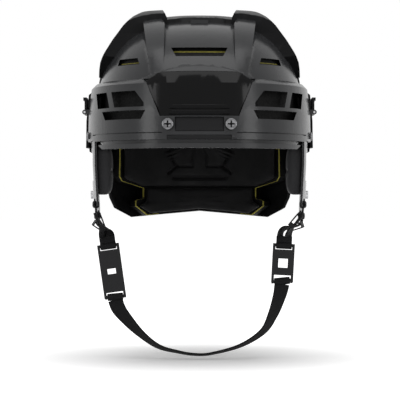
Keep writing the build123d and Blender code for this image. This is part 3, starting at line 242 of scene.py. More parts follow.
def newGroup(name, inputs, outputs):
    group = bpy.data.node_groups.new(name, "ShaderNodeTree")
    for label, kind, value in inputs:
        socket = group.interface.new_socket(label, in_out="INPUT", socket_type=kind)
        if value is not None:
            socket.default_value = value
    for label, kind in outputs:
        group.interface.new_socket(label, in_out="OUTPUT", socket_type=kind)
    put, links = nodeTools(group)
    return group, put, links, put("NodeGroupInput"), put("NodeGroupOutput")


# Moulded grain: fine pebbling for the bump, and soft cloudy wear for the roughness
mouldedGrain, put, links, given, result = newGroup(
    "mouldedGrain",
    [("Grain", "NodeSocketFloat", 1400.0), ("Cloud", "NodeSocketFloat", 22.0),
     ("Low", "NodeSocketFloat", 0.3), ("High", "NodeSocketFloat", 0.45),
     ("Colour", "NodeSocketColor", (0.05, 0.05, 0.05, 1)),
     ("Faded", "NodeSocketColor", (0.07, 0.07, 0.07, 1))],
    [("Height", "NodeSocketFloat"), ("Roughness", "NodeSocketFloat"), ("Tint", "NodeSocketColor")])
place = put("ShaderNodeTexCoord")
grain = put("ShaderNodeTexNoise", {
    "Vector": place.outputs["Object"], "Scale": given.outputs["Grain"], "Detail": 2.0})
cloud = put("ShaderNodeTexNoise", {
    "Vector": place.outputs["Object"], "Scale": given.outputs["Cloud"], "Detail": 5.0, "Roughness": 0.62})
spread = put("ShaderNodeMapRange", {
    "Value": cloud.outputs[0], "From Min": 0.3, "From Max": 0.7,
    "To Min": given.outputs["Low"], "To Max": given.outputs["High"]})
tint = put("ShaderNodeMix", {
    "Factor": cloud.outputs[0], "A": given.outputs["Colour"], "B": given.outputs["Faded"]}, data_type="RGBA")
links.new(grain.outputs[0], result.inputs["Height"])
links.new(spread.outputs[0], result.inputs["Roughness"])
links.new(tint.outputs[2], result.inputs["Tint"])

# Weave: over and under threads from the UV map, which is in metres
weaveGroup, put, links, given, result = newGroup(
    "wovenThreads", [("Threads", "NodeSocketFloat", 900.0), ("Rows", "NodeSocketFloat", 900.0)],
    [("Height", "NodeSocketFloat"), ("Shade", "NodeSocketFloat")])
flat = put("ShaderNodeUVMap", uv_map="UVMap")
split = put("ShaderNodeSeparateXYZ", {0: flat.outputs[0]})


def maths(operation, a, b=None):
    node = put("ShaderNodeMath", {0: a}, operation=operation)
    if b is not None:
        if hasattr(b, "is_output"):
            links.new(b, node.inputs[1])
        else:
            node.inputs[1].default_value = b
    return node.outputs[0]


across = maths("MULTIPLY", split.outputs[0], given.outputs["Threads"])
along = maths("MULTIPLY", split.outputs[1], given.outputs["Rows"])
warp = maths("ABSOLUTE", maths("SINE", maths("MULTIPLY", across, math.pi)))
weft = maths("ABSOLUTE", maths("SINE", maths("MULTIPLY", along, math.pi)))
over = maths("MODULO", maths("ABSOLUTE", maths("ADD", maths("FLOOR", across), maths("FLOOR", along))), 2.0)
thread = put("ShaderNodeMix", {"Factor": over, "A": warp, "B": weft}, data_type="FLOAT")
links.new(thread.outputs[0], result.inputs["Height"])
# Shade falls to nothing between the threads, where the webbing paints its gap colour as shade
links.new(maths("MULTIPLY", warp, weft), result.inputs["Shade"])

# Soft cover: a fine knit from cells, with broad creases of lighter and darker pile
coverGroup, put, links, given, result = newGroup(
    "softCover",
    [("Knit", "NodeSocketFloat", 1100.0), ("Colour", "NodeSocketColor", (0.01, 0.01, 0.01, 1)),
     ("Light", "NodeSocketColor", (0.03, 0.03, 0.03, 1))],
    [("Height", "NodeSocketFloat"), ("Roughness", "NodeSocketFloat"), ("Tint", "NodeSocketColor")])
place = put("ShaderNodeTexCoord")
cells = put("ShaderNodeTexVoronoi", {"Vector": place.outputs["Object"], "Scale": given.outputs["Knit"]})
pile = put("ShaderNodeTexNoise", {
    "Vector": place.outputs["Object"], "Scale": 60.0, "Detail": 6.0, "Roughness": 0.7})
sheen = put("ShaderNodeMapRange", {
    "Value": pile.outputs[0], "From Min": 0.35, "From Max": 0.7, "To Min": 0.55, "To Max": 0.85})
tint = put("ShaderNodeMix", {
    "Factor": pile.outputs[0], "A": given.outputs["Colour"], "B": given.outputs["Light"]}, data_type="RGBA")
links.new(cells.outputs[0], result.inputs["Height"])
links.new(sheen.outputs[0], result.inputs["Roughness"])
links.new(tint.outputs[2], result.inputs["Tint"])


def newMaterial(name, constants):
    material = bpy.data.materials.new(name)
    material.use_nodes = True
    material.node_tree.nodes.clear()
    put, links = nodeTools(material.node_tree)
    shader = put("ShaderNodeBsdfPrincipled", constants)
    output = put("ShaderNodeOutputMaterial")
    links.new(shader.outputs[0], output.inputs[0])
    return material, put, links, shader


def plasticMaterial(name, spec):
    # Moulded plastic: pebbled bump, cloudy roughness and a slight fade of the colour
    material, put, links, shader = newMaterial(name, spec["constants"])
    group = put("ShaderNodeGroup", node_tree=mouldedGrain)
    group.inputs["Low"].default_value, group.inputs["High"].default_value = spec["roughness"]
    group.inputs["Colour"].default_value = (*spec["colour"], 1)
    group.inputs["Faded"].default_value = (*spec["faded"], 1)
    bump = put("ShaderNodeBump", {
        "Height": group.outputs["Height"], "Strength": spec["bump"], "Distance": 0.0002})
    links.new(group.outputs["Tint"], shader.inputs["Base Color"])
    links.new(group.outputs["Roughness"], shader.inputs["Roughness"])
    links.new(bump.outputs[0], shader.inputs["Normal"])
    return material


def coverMaterial(name, spec):
    # Soft cover of a pad: knit bump, creased pile for roughness and colour
    material, put, links, shader = newMaterial(name, spec["constants"])
    group = put("ShaderNodeGroup", node_tree=coverGroup)
    group.inputs["Knit"].default_value = spec["knit"]
    group.inputs["Colour"].default_value = (*spec["colour"], 1)
    group.inputs["Light"].default_value = (*spec["light"], 1)
    bump = put("ShaderNodeBump", {
        "Height": group.outputs["Height"], "Strength": spec["bump"], "Distance": 0.0003})
    links.new(group.outputs["Tint"], shader.inputs["Base Color"])
    links.new(group.outputs["Roughness"], shader.inputs["Roughness"])
    links.new(bump.outputs[0], shader.inputs["Normal"])
    return material


def webbingMaterial(name, spec):
    # Woven webbing: thread bump from the UV map, and painted shade that makes the gaps between the threads a
    # little darker
    material, put, links, shader = newMaterial(name, spec["constants"])
    group = put("ShaderNodeGroup", node_tree=weaveGroup)
    group.inputs["Threads"].default_value, group.inputs["Rows"].default_value = spec["threads"], spec["rows"]
    mix = put("ShaderNodeMix", {
        "Factor": group.outputs["Shade"], "A": (*spec["gap"], 1), "B": (*spec["colour"], 1)},
        data_type="RGBA")
    bump = put("ShaderNodeBump", {"Height": group.outputs["Height"], "Strength": 0.6, "Distance": 0.0004})
    links.new(mix.outputs[2], shader.inputs["Base Color"])
    links.new(bump.outputs[0], shader.inputs["Normal"])
    return material


finishes = {
    "shellGrey": {
        "colour": (0.021, 0.0215, 0.0228), "faded": (0.027, 0.0276, 0.029), "roughness": (0.2, 0.27),
        "bump": 0.03, "constants": {"Specular IOR Level": 0.24}},
    "shellBlack": {
        "colour": (0.006, 0.006, 0.0064), "faded": (0.009, 0.009, 0.0095), "roughness": (0.34, 0.46),
        "bump": 0.05, "constants": {"Specular IOR Level": 0.07}},
    "panelGloss": {
        "colour": (0.0016, 0.0016, 0.0018), "faded": (0.0022, 0.0022, 0.0025), "roughness": (0.1, 0.14),
        "bump": 0.01, "constants": {"Specular IOR Level": 0.12}},
    "trimBlack": {
        "colour": (0.005, 0.005, 0.0055), "faded": (0.008, 0.008, 0.0085), "roughness": (0.45, 0.6),
        "bump": 0.2, "constants": {"Specular IOR Level": 0.14}},
    "steel": {
        "colour": (0.45, 0.45, 0.46), "faded": (0.52, 0.52, 0.53), "roughness": (0.22, 0.4),
        "bump": 0.05, "constants": {"Metallic": 1.0}},
    "rackPlastic": {
        "colour": (0.010, 0.010, 0.011), "faded": (0.016, 0.016, 0.017), "roughness": (0.45, 0.6),
        "bump": 0.15, "constants": {"Specular IOR Level": 0.25}},
    "yokeBlack": {
        "colour": (0.006, 0.006, 0.0066), "faded": (0.010, 0.010, 0.011), "roughness": (0.35, 0.5),
        "bump": 0.15, "constants": {"Specular IOR Level": 0.2}},
}
plastics = {name: plasticMaterial(name, spec) for name, spec in finishes.items()}
padCover = coverMaterial("padCover", {
    "knit": 1500, "colour": (0.0048, 0.0048, 0.005), "light": (0.0105, 0.0105, 0.011), "bump": 0.25,
    "constants": {"Specular IOR Level": 0.14, "Sheen Weight": 0.04}})
sidePadCover = coverMaterial("sidePadCover", {
    "knit": 700, "colour": (0.018, 0.018, 0.019), "light": (0.034, 0.034, 0.036), "bump": 0.6,
    "constants": {"Specular IOR Level": 0.14, "Sheen Weight": 0.06}})
# gap is the painted shade colour between the threads
webbing = webbingMaterial("webbing", {
    "threads": 1300, "rows": 700, "colour": (0.011, 0.011, 0.012), "gap": (0.004, 0.004, 0.004),
    "constants": {"Roughness": 0.7, "Specular IOR Level": 0.12}})

# Screw metal: blackened, with the cross in the head painted near black and not metallic as painted shade,
# which the piece's own attribute marks
screwMetal, put, links, shader = newMaterial("screwMetal", {"Specular IOR Level": 0.1})
group = put("ShaderNodeGroup", node_tree=mouldedGrain)
group.inputs["Colour"].default_value = (0.1, 0.1, 0.104, 1)
group.inputs["Faded"].default_value = (0.2, 0.2, 0.205, 1)
group.inputs["Low"].default_value, group.inputs["High"].default_value = 0.22, 0.36
hollow = put("ShaderNodeAttribute", attribute_name="recess")
# painted shade: faces marked as recess take a near black colour instead of the metal
colour = put("ShaderNodeMix", {
    "Factor": hollow.outputs["Fac"], "A": group.outputs["Tint"], "B": (0.003, 0.003, 0.003, 1)},
    data_type="RGBA")
metal = put("ShaderNodeMath", {0: 1.0, 1: hollow.outputs["Fac"]}, operation="SUBTRACT")
links.new(colour.outputs[2], shader.inputs["Base Color"])
links.new(metal.outputs[0], shader.inputs["Metallic"])
links.new(group.outputs["Roughness"], shader.inputs["Roughness"])

# Clear guards: thin polycarbonate, a little smoky
guardClear, put, links, shader = newMaterial(
    "guardClear", {"Roughness": 0.15, "IOR": 1.5, "Alpha": 0.88, "Base Color": (0.02, 0.0205, 0.022, 1),
                   "Specular IOR Level": 0.2})
group = put("ShaderNodeGroup", node_tree=mouldedGrain)
group.inputs["Low"].default_value, group.inputs["High"].default_value = 0.08, 0.22
links.new(group.outputs["Roughness"], shader.inputs["Roughness"])

# Liner foam: fused beads, black, with yellow beads showing along some rims. The piece's UV map holds
# the distance from the rim and the run round the egg from its middle, both in metres
foamSpec = {
    "beads": 420, "yellow": (0.52, 0.47, 0.10), "shaded": (0.42, 0.37, 0.07), "black": (0.006, 0.006, 0.006),
    "rimWidth": 0.0017, "rimFrom": 0.053, "strips": ((0.0897, 0.0911), (0.0808, 0.0815)),
    "stripShade": 0.4,
}


def foamMaterial(name, rims):
    # Yellow shows beside the rim and away from the middle, or else in level strips behind the vents, which
    # are darkened as painted shade
    material, put, links, shader = newMaterial(name, {"Specular IOR Level": 0.1})

    def within(value, low, high):
        above = put("ShaderNodeMath", {0: value, 1: low}, operation="GREATER_THAN")
        below = put("ShaderNodeMath", {0: value, 1: high}, operation="LESS_THAN")
        both = put("ShaderNodeMath", {0: above.outputs[0], 1: below.outputs[0]}, operation="MULTIPLY")
        return both.outputs[0]

    place = put("ShaderNodeTexCoord")
    beads = put("ShaderNodeTexVoronoi", {
        "Vector": place.outputs["Object"], "Scale": foamSpec["beads"]})
    if rims:
        flat = put("ShaderNodeUVMap", uv_map="UVMap")
        split = put("ShaderNodeSeparateXYZ", {0: flat.outputs[0]})
        outside = put("ShaderNodeMath", {0: split.outputs[1]}, operation="ABSOLUTE")
        first = within(split.outputs[0], -1.0, foamSpec["rimWidth"])
        second = within(outside.outputs[0], foamSpec["rimFrom"], 1.0)
        shown = put("ShaderNodeMath", {0: first, 1: second}, operation="MULTIPLY")
    else:
        split = put("ShaderNodeSeparateXYZ", {0: place.outputs["Object"]})
        strips = [within(split.outputs[2], low, high) for low, high in foamSpec["strips"]]
        shown = put("ShaderNodeMath", {0: strips[0], 1: strips[1]}, operation="ADD")
    # painted shade: the strips behind the vents take the yellow at stripShade of its brightness
    shade = 1.0 if rims else foamSpec["stripShade"]
    light, dark = ((*(shade * part for part in foamSpec[key]), 1) for key in ("yellow", "shaded"))
    tone = put("ShaderNodeMix", {"Factor": beads.outputs[0], "A": light, "B": dark}, data_type="RGBA")
    colour = put("ShaderNodeMix", {
        "Factor": shown.outputs[0], "A": (*foamSpec["black"], 1), "B": tone.outputs[2]}, data_type="RGBA")
    bump = put("ShaderNodeBump", {"Height": beads.outputs[0], "Strength": 0.4, "Distance": 0.0004})
    rough = put("ShaderNodeMapRange", {"Value": beads.outputs[0], "To Min": 0.6, "To Max": 0.85})
    links.new(rough.outputs[0], shader.inputs["Roughness"])
    links.new(colour.outputs[2], shader.inputs["Base Color"])
    links.new(bump.outputs[0], shader.inputs["Normal"])
    return material


foamFront = foamMaterial("foamFront", rims=False)
foamRear = foamMaterial("foamRear", rims=True)
print("materials made:", len(bpy.data.materials))


def dress(piece, material):
    piece.data.materials.clear()
    piece.data.materials.append(material)
    return piece


# Hard pieces that keep their solids and take a finish
hardFinish = {
    "visor_nuts": "steel", "ear_guard_nuts": "steel", "lever_pin_left": "steel", "lever_pin_right": "steel",
    "rack_left": "rackPlastic", "rack_right": "rackPlastic", "clamp_left": "rackPlastic",
    "clamp_right": "rackPlastic",
}
for name, finish in hardFinish.items():
    nodes[name].data.materials.clear()
    nodes[name].data.materials.append(plastics[finish])


def merged(name, newName, body, material, bevel=0.0, sharp=32, segments=2):
    # A merged copy of a solid, so that its edges can be rounded and its faces shade smoothly
    data = nodes[name].data.copy()
    work = bmesh.new()
    work.from_mesh(data)
    bmesh.ops.remove_doubles(work, verts=work.verts, dist=2e-6)
    bmesh.ops.dissolve_degenerate(work, edges=work.edges, dist=1e-6)
    if bevel:
        bmesh.ops.dissolve_limit(work, angle_limit=math.radians(1.5), verts=work.verts, edges=work.edges)
    work.to_mesh(data)
    work.free()
    piece = bpy.data.objects.new(newName, data)
    scene.collection.objects.link(piece)
    data.polygons.foreach_set("use_smooth", np.ones(len(data.polygons), bool))
    data.set_sharp_from_angle(angle=math.radians(sharp))
    if bevel:
        rounding = piece.modifiers.new("rounding", "BEVEL")
        rounding.width = bevel
        rounding.segments = segments
        rounding.limit_method = "ANGLE"
        rounding.angle_limit = math.radians(30)
        rounding.harden_normals = False
    shading = piece.modifiers.new("evenShading", "WEIGHTED_NORMAL")
    shading.keep_sharp = True
    dress(piece, material)
    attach(piece, body)
    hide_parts(name)
    return piece


merged("front_shell", "frontShell", "front_half", plastics["shellGrey"], sharp=14)
merged("rear_shell", "rearShell", "rear_half", plastics["shellBlack"], sharp=14)
merged("brow_panel", "browPanel", "front_half", plastics["panelGloss"], 0.0004)
merged("brow_trim", "browTrim", "front_half", plastics["trimBlack"], 0.0003)

recessSpec = {"visor": (0.0031, 0.0015), "guard": (0.0018, 0.001), "top": 0.00004}


def markRecess(piece, kind):
    # For each screw of the piece, the axis is the way that most of its area faces; faces within reach of it
    # that lie a little below the head's top get the attribute 1, which the screw metal paints dark as shade
    reach, depth = recessSpec[kind]
    mesh = piece.data
    points = np.empty(len(mesh.vertices) * 3)
    mesh.vertices.foreach_get("co", points)
    points = points.reshape(-1, 3)
    edges = np.empty(len(mesh.edges) * 2, np.int32)
    mesh.edges.foreach_get("vertices", edges)
    start, end = edges.reshape(-1, 2).T
    # points joined by edges come to share the lowest number among them
    label = np.arange(len(points))
    while True:
        lowest = np.minimum(label[start], label[end])
        spread = label.copy()
        np.minimum.at(spread, start, lowest)
        np.minimum.at(spread, end, lowest)
        if (spread == label).all():
            break
        label = spread
    count = len(mesh.polygons)
    centre, normal, area = np.empty(count * 3), np.empty(count * 3), np.empty(count)
    mesh.polygons.foreach_get("center", centre)
    mesh.polygons.foreach_get("normal", normal)
    mesh.polygons.foreach_get("area", area)
    centre, normal = centre.reshape(-1, 3), normal.reshape(-1, 3)
    owner = label[np.array([face.vertices[0] for face in mesh.polygons])]
    mark = np.zeros(count, np.float32)
    for screw in np.unique(label):
        own, faces = points[label == screw], owner == screw
        weighted = normal[faces] * area[faces, None]
        axis = np.linalg.eigh(weighted.T @ normal[faces])[1][:, -1]
        middle = np.average(centre[faces], axis=0, weights=area[faces])
        along = (own - middle) @ axis
        away = np.linalg.norm(own - middle - along[:, None] * axis, axis=1)
        if along[np.argmax(away)] < 0:
            axis, along = -axis, -along
        faceAlong = (centre[faces] - middle) @ axis
        faceAway = np.linalg.norm(centre[faces] - middle - faceAlong[:, None] * axis, axis=1)
        below = along.max() - faceAlong
        mark[faces] = (faceAway < reach) & (below > recessSpec["top"]) & (below < depth)
    mesh.attributes.new("recess", "FLOAT", "FACE").data.foreach_set("value", mark)
    print("recess faces:", piece.name, int(mark.sum()))


visorScrews = merged("visor_screws", "visorScrews", "front_half", screwMetal)
guardScrews = merged("ear_guard_screws", "guardScrews", "front_half", screwMetal)
markRecess(visorScrews, "visor")
markRecess(guardScrews, "guard")
merged("cage_snap_studs", "snapStuds", "front_half", plastics["steel"], 0.0003)
for side in ("left", "right"):
    label = side.capitalize()
    merged("ear_guard_" + side, "earGuard" + label, "front_half", guardClear, 0.0004)
    merged("lever_" + side, "lever" + label, "lever_" + side, plastics["trimBlack"], 0.0003)
    merged("yoke_" + side, "yoke" + label, "front_half", plastics["yokeBlack"], 0.0004)
merged("strap_keepers", "strapKeepers", "front_half", plastics["yokeBlack"], 0.0004)
print("hard pieces dressed")


# The ear guards' form: half widths at three heights, and how much further than the egg they reach
guardForm = {
    "levels": (-0.061, -0.010, 0.022), "halfWidths": (0.100, 0.1026, 0.1029), "reach": 0.0039, "wall": 0.002,
}


def guardFlank(y, z):
    # Half width of the guard's outer face: the egg's plan, on the guard's own widths
    reach = np.where(y > crown["widestY"], crown["backReach"], crown["frontReach"]) + guardForm["reach"]
    along = np.abs(y - crown["widestY"]) / reach
    halfWidth = np.interp(z, guardForm["levels"], guardForm["halfWidths"])
    return halfWidth * (1 - along ** crown["plan"]) ** (1 / crown["plan"])


# Comfort pads: rings of a rounded outline; across the thickness each follows a superellipse,
# so the face is crowned and the sides draw in
padDepths = {"outer": (0.0143, 0.0223, 0.0173), "inner": (0.020, 0.031, 0.025)}
padForm = {"spread": 1.35, "sides": 9, "face": 2.6, "back": 7, "crownReach": 2.5}


def cushion(name, body, outline, radius, place, crownShare=0.16, channels=(), count=240, rings=40,
            material=padCover):
    # lift runs from the middle of the back round the side to the middle of the face; reach is the
    # share of the outline and height the share of the thickness, and each channel is a soft groove
    edge = roundedOutline(outline, radius, count)
    middle = edge.mean(0)
    quarter = np.pi / 2
    lift = np.linspace(-quarter, quarter, 2 * rings + 1)
    lift = np.sign(lift) * quarter * (1 - (1 - np.abs(lift) / quarter) ** padForm["spread"])
    reach = np.cos(lift) ** (2 / padForm["sides"])
    rise = np.abs(np.sin(lift))
    height = np.where(
        lift > 0, 0.5 + 0.5 * rise ** (2 / padForm["face"]), 0.5 - 0.5 * rise ** (2 / padForm["back"]))
    fall = crownShare * np.clip(reach, 0, 1) ** padForm["crownReach"]
    height = np.where(lift > 0, height * (1 - fall), height)
    flat = middle + (edge - middle)[None] * reach[:, None, None]
    share = np.repeat(height[:, None], count, 1)
    for line, depth, width in channels:
        gap = distanceToLine(flat, line)
        share = share - np.where(lift > 0, 1.0, 0.0)[:, None] * depth * np.exp(-((gap / width) ** 2))
    share = np.clip(share, 0, 1)
    outer = place(flat[..., 0], flat[..., 1], padDepths["outer"])
    inner = place(flat[..., 0], flat[..., 1], padDepths["inner"])
    points = outer + (inner - outer) * share[..., None]
    piece = closedTube(name, points[1:-1], uv=flat[1:-1], sharp=60)
    dress(piece, material)
    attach(piece, body)
    return piece


unroll = 0.09  # metres of outline for a radian of turn


def onEnd(back):
    def place(a, z, inset):
        return endPoint(a / unroll, z, inset, back)
    return place


def unrolled(points):
    # x and z of an outline, seen from the front, turned into the run along the egg and z
    points = np.array(points, float)
    return np.stack([turnAt(points[:, 0], points[:, 1], padDepths["outer"]) * unroll, points[:, 1]], -1)


def denser(points, step=0.004):
    # Straight runs divided, so that their corners stay and their middles can bend
    points = np.array(points, float)
    found = []
    for start, end in zip(points, np.roll(points, -1, 0)):
        pieces = max(1, int(np.linalg.norm(end - start) / step))
        t = np.arange(pieces)[:, None] / pieces
        found.append(start + (end - start) * t)
    return np.concatenate(found)


def mirroredOutline(half):
    return list(half) + [(-x, z) for x, z in reversed(half) if x != 0]


frontPads = {
    "foreheadPad": (
        "forehead_pad", 0.02, [(0.024, 0.011), (0.024, 0.066), (-0.024, 0.066), (-0.024, 0.011)]),
    "upperForeheadPad": (
        "upper_forehead_pad", 0.003, [(0.030, 0.071), (0.030, 0.084), (-0.030, 0.084), (-0.030, 0.071)]),
    "templePadRight": (
        "temple_pad_right", 0.02, [(0.028, 0.011), (0.072, 0.011), (0.072, 0.066), (0.028, 0.066)]),
    "templePadLeft": (
        "temple_pad_left", 0.02, [(-0.028, 0.011), (-0.072, 0.011), (-0.072, 0.066), (-0.028, 0.066)]),
}
for name, (node, half, outline) in frontPads.items():
    middle = np.mean(unrolled(outline), 0)
    lines = [([(middle[0], middle[1] - half), (middle[0], middle[1] + half)], 0.35, 0.0022)]
    cushion(name, "front_half", unrolled(outline), 0.005, onEnd(False), channels=lines)
    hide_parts(node)

# Rear pad: its wings, the level channel and the raised H of the middle
rearPadSpec = {
    "outline": mirroredOutline([
        (0, -0.029), (0.058, -0.029), (0.0738, -0.0222), (0.076, -0.020), (0.076, 0.048), (0.062, 0.062),
        (0, 0.062),
    ]),
    "channels": [
        ([(-0.0275, -0.0205), (0.0275, -0.0205)], 0.42, 0.0019),
        ([(-0.033, 0.008), (-0.0245, -0.009), (-0.033, -0.0155)], 0.34, 0.0016),
        ([(0.033, 0.008), (0.0245, -0.009), (0.033, -0.0155)], 0.34, 0.0016),
        ([(-0.0245, -0.009), (-0.0075, -0.009), (-0.0075, 0.012)], 0.2, 0.0011),
        ([(0.0245, -0.009), (0.0075, -0.009), (0.0075, 0.012)], 0.2, 0.0011),
        ([(-0.033, 0.05), (-0.033, 0.008)], 0.26, 0.002), ([(0.033, 0.05), (0.033, 0.008)], 0.26, 0.002),
    ],
}


cushion(
    "rearPad", "rear_half", unrolled(denser(rearPadSpec["outline"])), 0.006, onEnd(True), crownShare=0.12,
    channels=[(unrolled(line), depth, width) for line, depth, width in rearPadSpec["channels"]],
    count=480, rings=96)
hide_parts("rear_pad")

occipitalOutline = mirroredOutline([
    (0, -0.0515), (0.050, -0.056), (0.061, -0.049), (0.054, -0.044), (0.054, -0.0315), (0, -0.0315),
])
cushion(
    "occipitalPad", "rear_half", unrolled(denser(occipitalOutline)), 0.004, onEnd(True), crownShare=0.1,
    count=400)
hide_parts("occipital_pad")

crownPadSpec = {"halfWidth": 0.030, "frontY": -0.059, "length": 0.0595, "spacing": 0.008, "grooveFrom": 0.012}
for index in (0, 1):
    start = crownPadSpec["frontY"] + index * (crownPadSpec["length"] + crownPadSpec["spacing"])
    end = start + crownPadSpec["length"]
    w = crownPadSpec["halfWidth"]
    name = ("crownPadFront", "crownPadBack")[index]
    cushion(name, "rear_half", [(w, start), (w, end), (-w, end), (-w, start)], 0.006, topPoint,
                         channels=[([(0, start + crownPadSpec["grooveFrom"]),
                                     (0, end - crownPadSpec["grooveFrom"])], 0.3, 0.002)])
    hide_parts("crown_pad")

sidePadSpec = {
    "outline": [(-0.004, 0.011), (0.044, 0.011), (0.044, 0.058), (-0.004, 0.058)],
    "channels": [([(0.02, 0.018), (0.02, 0.051)], 0.3, 0.002)],
}
earPadSpec = {
    "innerX": 0.081, "guardGap": 0.0006,
    "outline": [(-0.040, -0.038), (-0.006, -0.038), (-0.006, 0.0077), (-0.040, 0.0077)],
    "channels": [([(-0.034, -0.016), (-0.012, -0.016)], 0.12, 0.0015)],
}
for side, label in ((-1, "Left"), (1, "Right")):
    def onFlank(y, z, inset, side=side):
        return flankPoint(y, z, inset, side)
    name = "sidePad" + label
    cushion(
        name, "rear_half", sidePadSpec["outline"], 0.005, onFlank, channels=sidePadSpec["channels"])
    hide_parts("side_pad_" + label.lower())

    # Ear pad: a thick block of soft foam in a coarse grey cover, from the guard's inner face to the ear
    def onBlock(y, z, inset, side=side):
        outer = guardFlank(y, z) - guardForm["wall"] - earPadSpec["guardGap"]
        x = side * (outer if inset == padDepths["outer"] else earPadSpec["innerX"] + 0 * y)
        return np.stack([x, y, z], -1)
    name = "earPad" + label
    cushion(
        name, "front_half", earPadSpec["outline"], 0.008, onBlock, crownShare=0.12, material=sidePadCover,
        channels=earPadSpec["channels"])
    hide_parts("ear_pad_" + label.lower())


# Liner foam: thick patches between two depths of the egg, with a slim rounding at their rims
foamDepths = {
    "front": (0.0028, 0.0028, 0.0028), "rear": (0.0052, 0.0052, 0.0052), "inner": (0.014, 0.022, 0.017),
}
seam = {"z": (-0.10, 0.066, 0.072, 0.090, 0.112, 0.16), "y": (0.022, 0.022, -0.015, -0.044, -0.042, -0.042)}
rimDepth = 0.014
patchForm = {"rings": 30, "rimRings": 6, "rimInset": 0.02, "draw": 0.006, "drawFrom": 0.4}
rackRoom = {"fromY": -0.031, "z": (0.0405, 0.0555), "depth": 0.0056}


def patch(name, body, edge, place, outerInset, material):
    # Rings of the outline on the outer face, round the rim and back over the inner face
    middle = edge.mean(0)
    t = np.linspace(0, 1, patchForm["rings"])[1:]
    reach = np.concatenate([t, np.ones(patchForm["rimRings"]), t[::-1]])
    rim = np.linspace(patchForm["rimInset"], 1 - patchForm["rimInset"], patchForm["rimRings"])
    depth = np.concatenate([0 * t, rim, 0 * t + 1])
    reach = reach - patchForm["draw"] * (np.abs(depth - 0.5) > patchForm["drawFrom"])
    flat = middle + (edge - middle)[None] * reach[:, None, None]
    outer = place(flat[..., 0], flat[..., 1], outerInset)
    if body == "front_half":
        low, high = rackRoom["z"]
        beside = (outer[..., 1] > rackRoom["fromY"]) & (outer[..., 2] > low) & (outer[..., 2] < high)
        outer = place(flat[..., 0], flat[..., 1], [part + rackRoom["depth"] * beside for part in outerInset])
    inner = place(flat[..., 0], flat[..., 1], foamDepths["inner"])
    points = outer + (inner - outer) * depth[:, None, None]
    # what the piping's colour goes by: the way from the rim of the inner face
    fromRim = (1 - reach)[:, None] * np.linalg.norm(edge - middle, axis=1)[None]
    fromRim = fromRim + rimDepth * (1 - depth)[:, None]
    piece = closedTube(name, points, uv=np.stack([fromRim, flat[..., 0]], -1), sharp=50)
    dress(piece, material)
    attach(piece, body)
    return piece


# Front liner: from the brow up to the seam, which its upper edge follows
linerSpec = {
    "footZ": 0.008, "frontTopZ": 0.1095, "frontGap": 0.0315, "levels": 120, "step": 0.003, "rearGap": 0.030,
    "domeTopZ": 0.1226, "domePoints": 400, "domeRings": 60, "searchLevels": 500, "searchTopZ": 0.1225,
    "rimInset": 0.04, "napeStep": 0.002,
}
heights = np.linspace(linerSpec["footZ"], linerSpec["frontTopZ"], linerSpec["levels"])
seamY = np.interp(heights, seam["z"], seam["y"]) - linerSpec["frontGap"]
frontReach = crownSection(heights, foamDepths["front"])[1]
share = np.clip((crown["widestY"] - seamY) / frontReach, 0, 1)
edgeTurn = np.arcsin(np.clip((1 - share ** crown["plan"]) ** (1 / crown["plan"]), 0, 0.9995))
keep = edgeTurn > 0.02
edgeTurn, heights = edgeTurn[keep], heights[keep]
right = np.stack([edgeTurn * unroll, heights], -1)
left = np.stack([-edgeTurn * unroll, heights], -1)
run = denser(np.concatenate([right, left[::-1]]), linerSpec["step"])
front = patch("frontLiner", "front_half", run, onEnd(False), foamDepths["front"], foamFront)
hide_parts("front_foam")

# Rear liner's dome: rings from the top of the egg down to the seam, and to the level of the ears behind it
angle = np.linspace(0, 2 * np.pi, linerSpec["domePoints"], endpoint=False) + np.pi / linerSpec["domePoints"]


def domePoint(angle, z, inset):
    # The egg's plan at height z: half width and reach times signed powers of the cosine and the sine
    halfWidth, frontReach, backReach = crownSection(z, inset)
    reach = np.where(np.sin(angle) > 0, backReach, frontReach)
    x = halfWidth * signedPower(np.cos(angle), 2 / crown["plan"])
    return np.stack([x, crown["widestY"] + reach * signedPower(np.sin(angle), 2 / crown["plan"]), z], -1)


fine = np.linspace(linerSpec["searchTopZ"], linerSpec["footZ"], linerSpec["searchLevels"])
allPoints = domePoint(angle[None], fine[:, None] + 0 * angle[None], foamDepths["rear"])
crossed = allPoints[..., 1] < np.interp(fine, seam["z"], seam["y"])[:, None] - linerSpec["rearGap"]
lowest = np.where(crossed.any(0), fine[np.argmax(crossed, 0)], linerSpec["footZ"])
drop = 1 - np.cos(np.linspace(0, 1, linerSpec["domeRings"])[1:] * np.pi / 2)
levels = linerSpec["domeTopZ"] - (linerSpec["domeTopZ"] - lowest)[None] * drop[:, None]
outer = domePoint(angle[None], levels, foamDepths["rear"])
innerHeight, outerHeight = crown["height"] - foamDepths["inner"][2], crown["height"] - foamDepths["rear"][2]
innerLevels = crown["equatorZ"] + (levels - crown["equatorZ"]) * innerHeight / outerHeight
innerLevels = np.where(levels > crown["equatorZ"], innerLevels, levels)
inner = domePoint(angle[None], innerLevels, foamDepths["inner"])
rimShare = np.linspace(linerSpec["rimInset"], 1 - linerSpec["rimInset"], patchForm["rimRings"])[:, None, None]
rimPoints = outer[-1][None] * (1 - rimShare) + inner[-1][None] * rimShare
domeRings = np.concatenate([outer, rimPoints, inner[::-1]])
rearDome = closedTube("rearLiner", domeRings, uv=np.ones(domeRings.shape[:2] + (2,)), sharp=50)
dress(rearDome, foamRear)
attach(rearDome, "rear_half")
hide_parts("rear_foam")

# Rear liner's skirt: down behind the pads, waisted above the nape, its rim a little beyond theirs
napeOutline = mirroredOutline([
    (0, -0.0537), (0.0522, -0.0582), (0.0632, -0.049), (0.0632, -0.044), (0.0562, -0.0418),
    (0.0562, -0.0312), (0.076, -0.0244), (0.0782, -0.020), (0.0782, 0.0077), (0, 0.0077),
])
napeEdge = unrolled(denser(napeOutline, linerSpec["napeStep"]))
patch("napeLiner", "rear_half", napeEdge, onEnd(True), foamDepths["rear"], foamRear)
print("liner made")


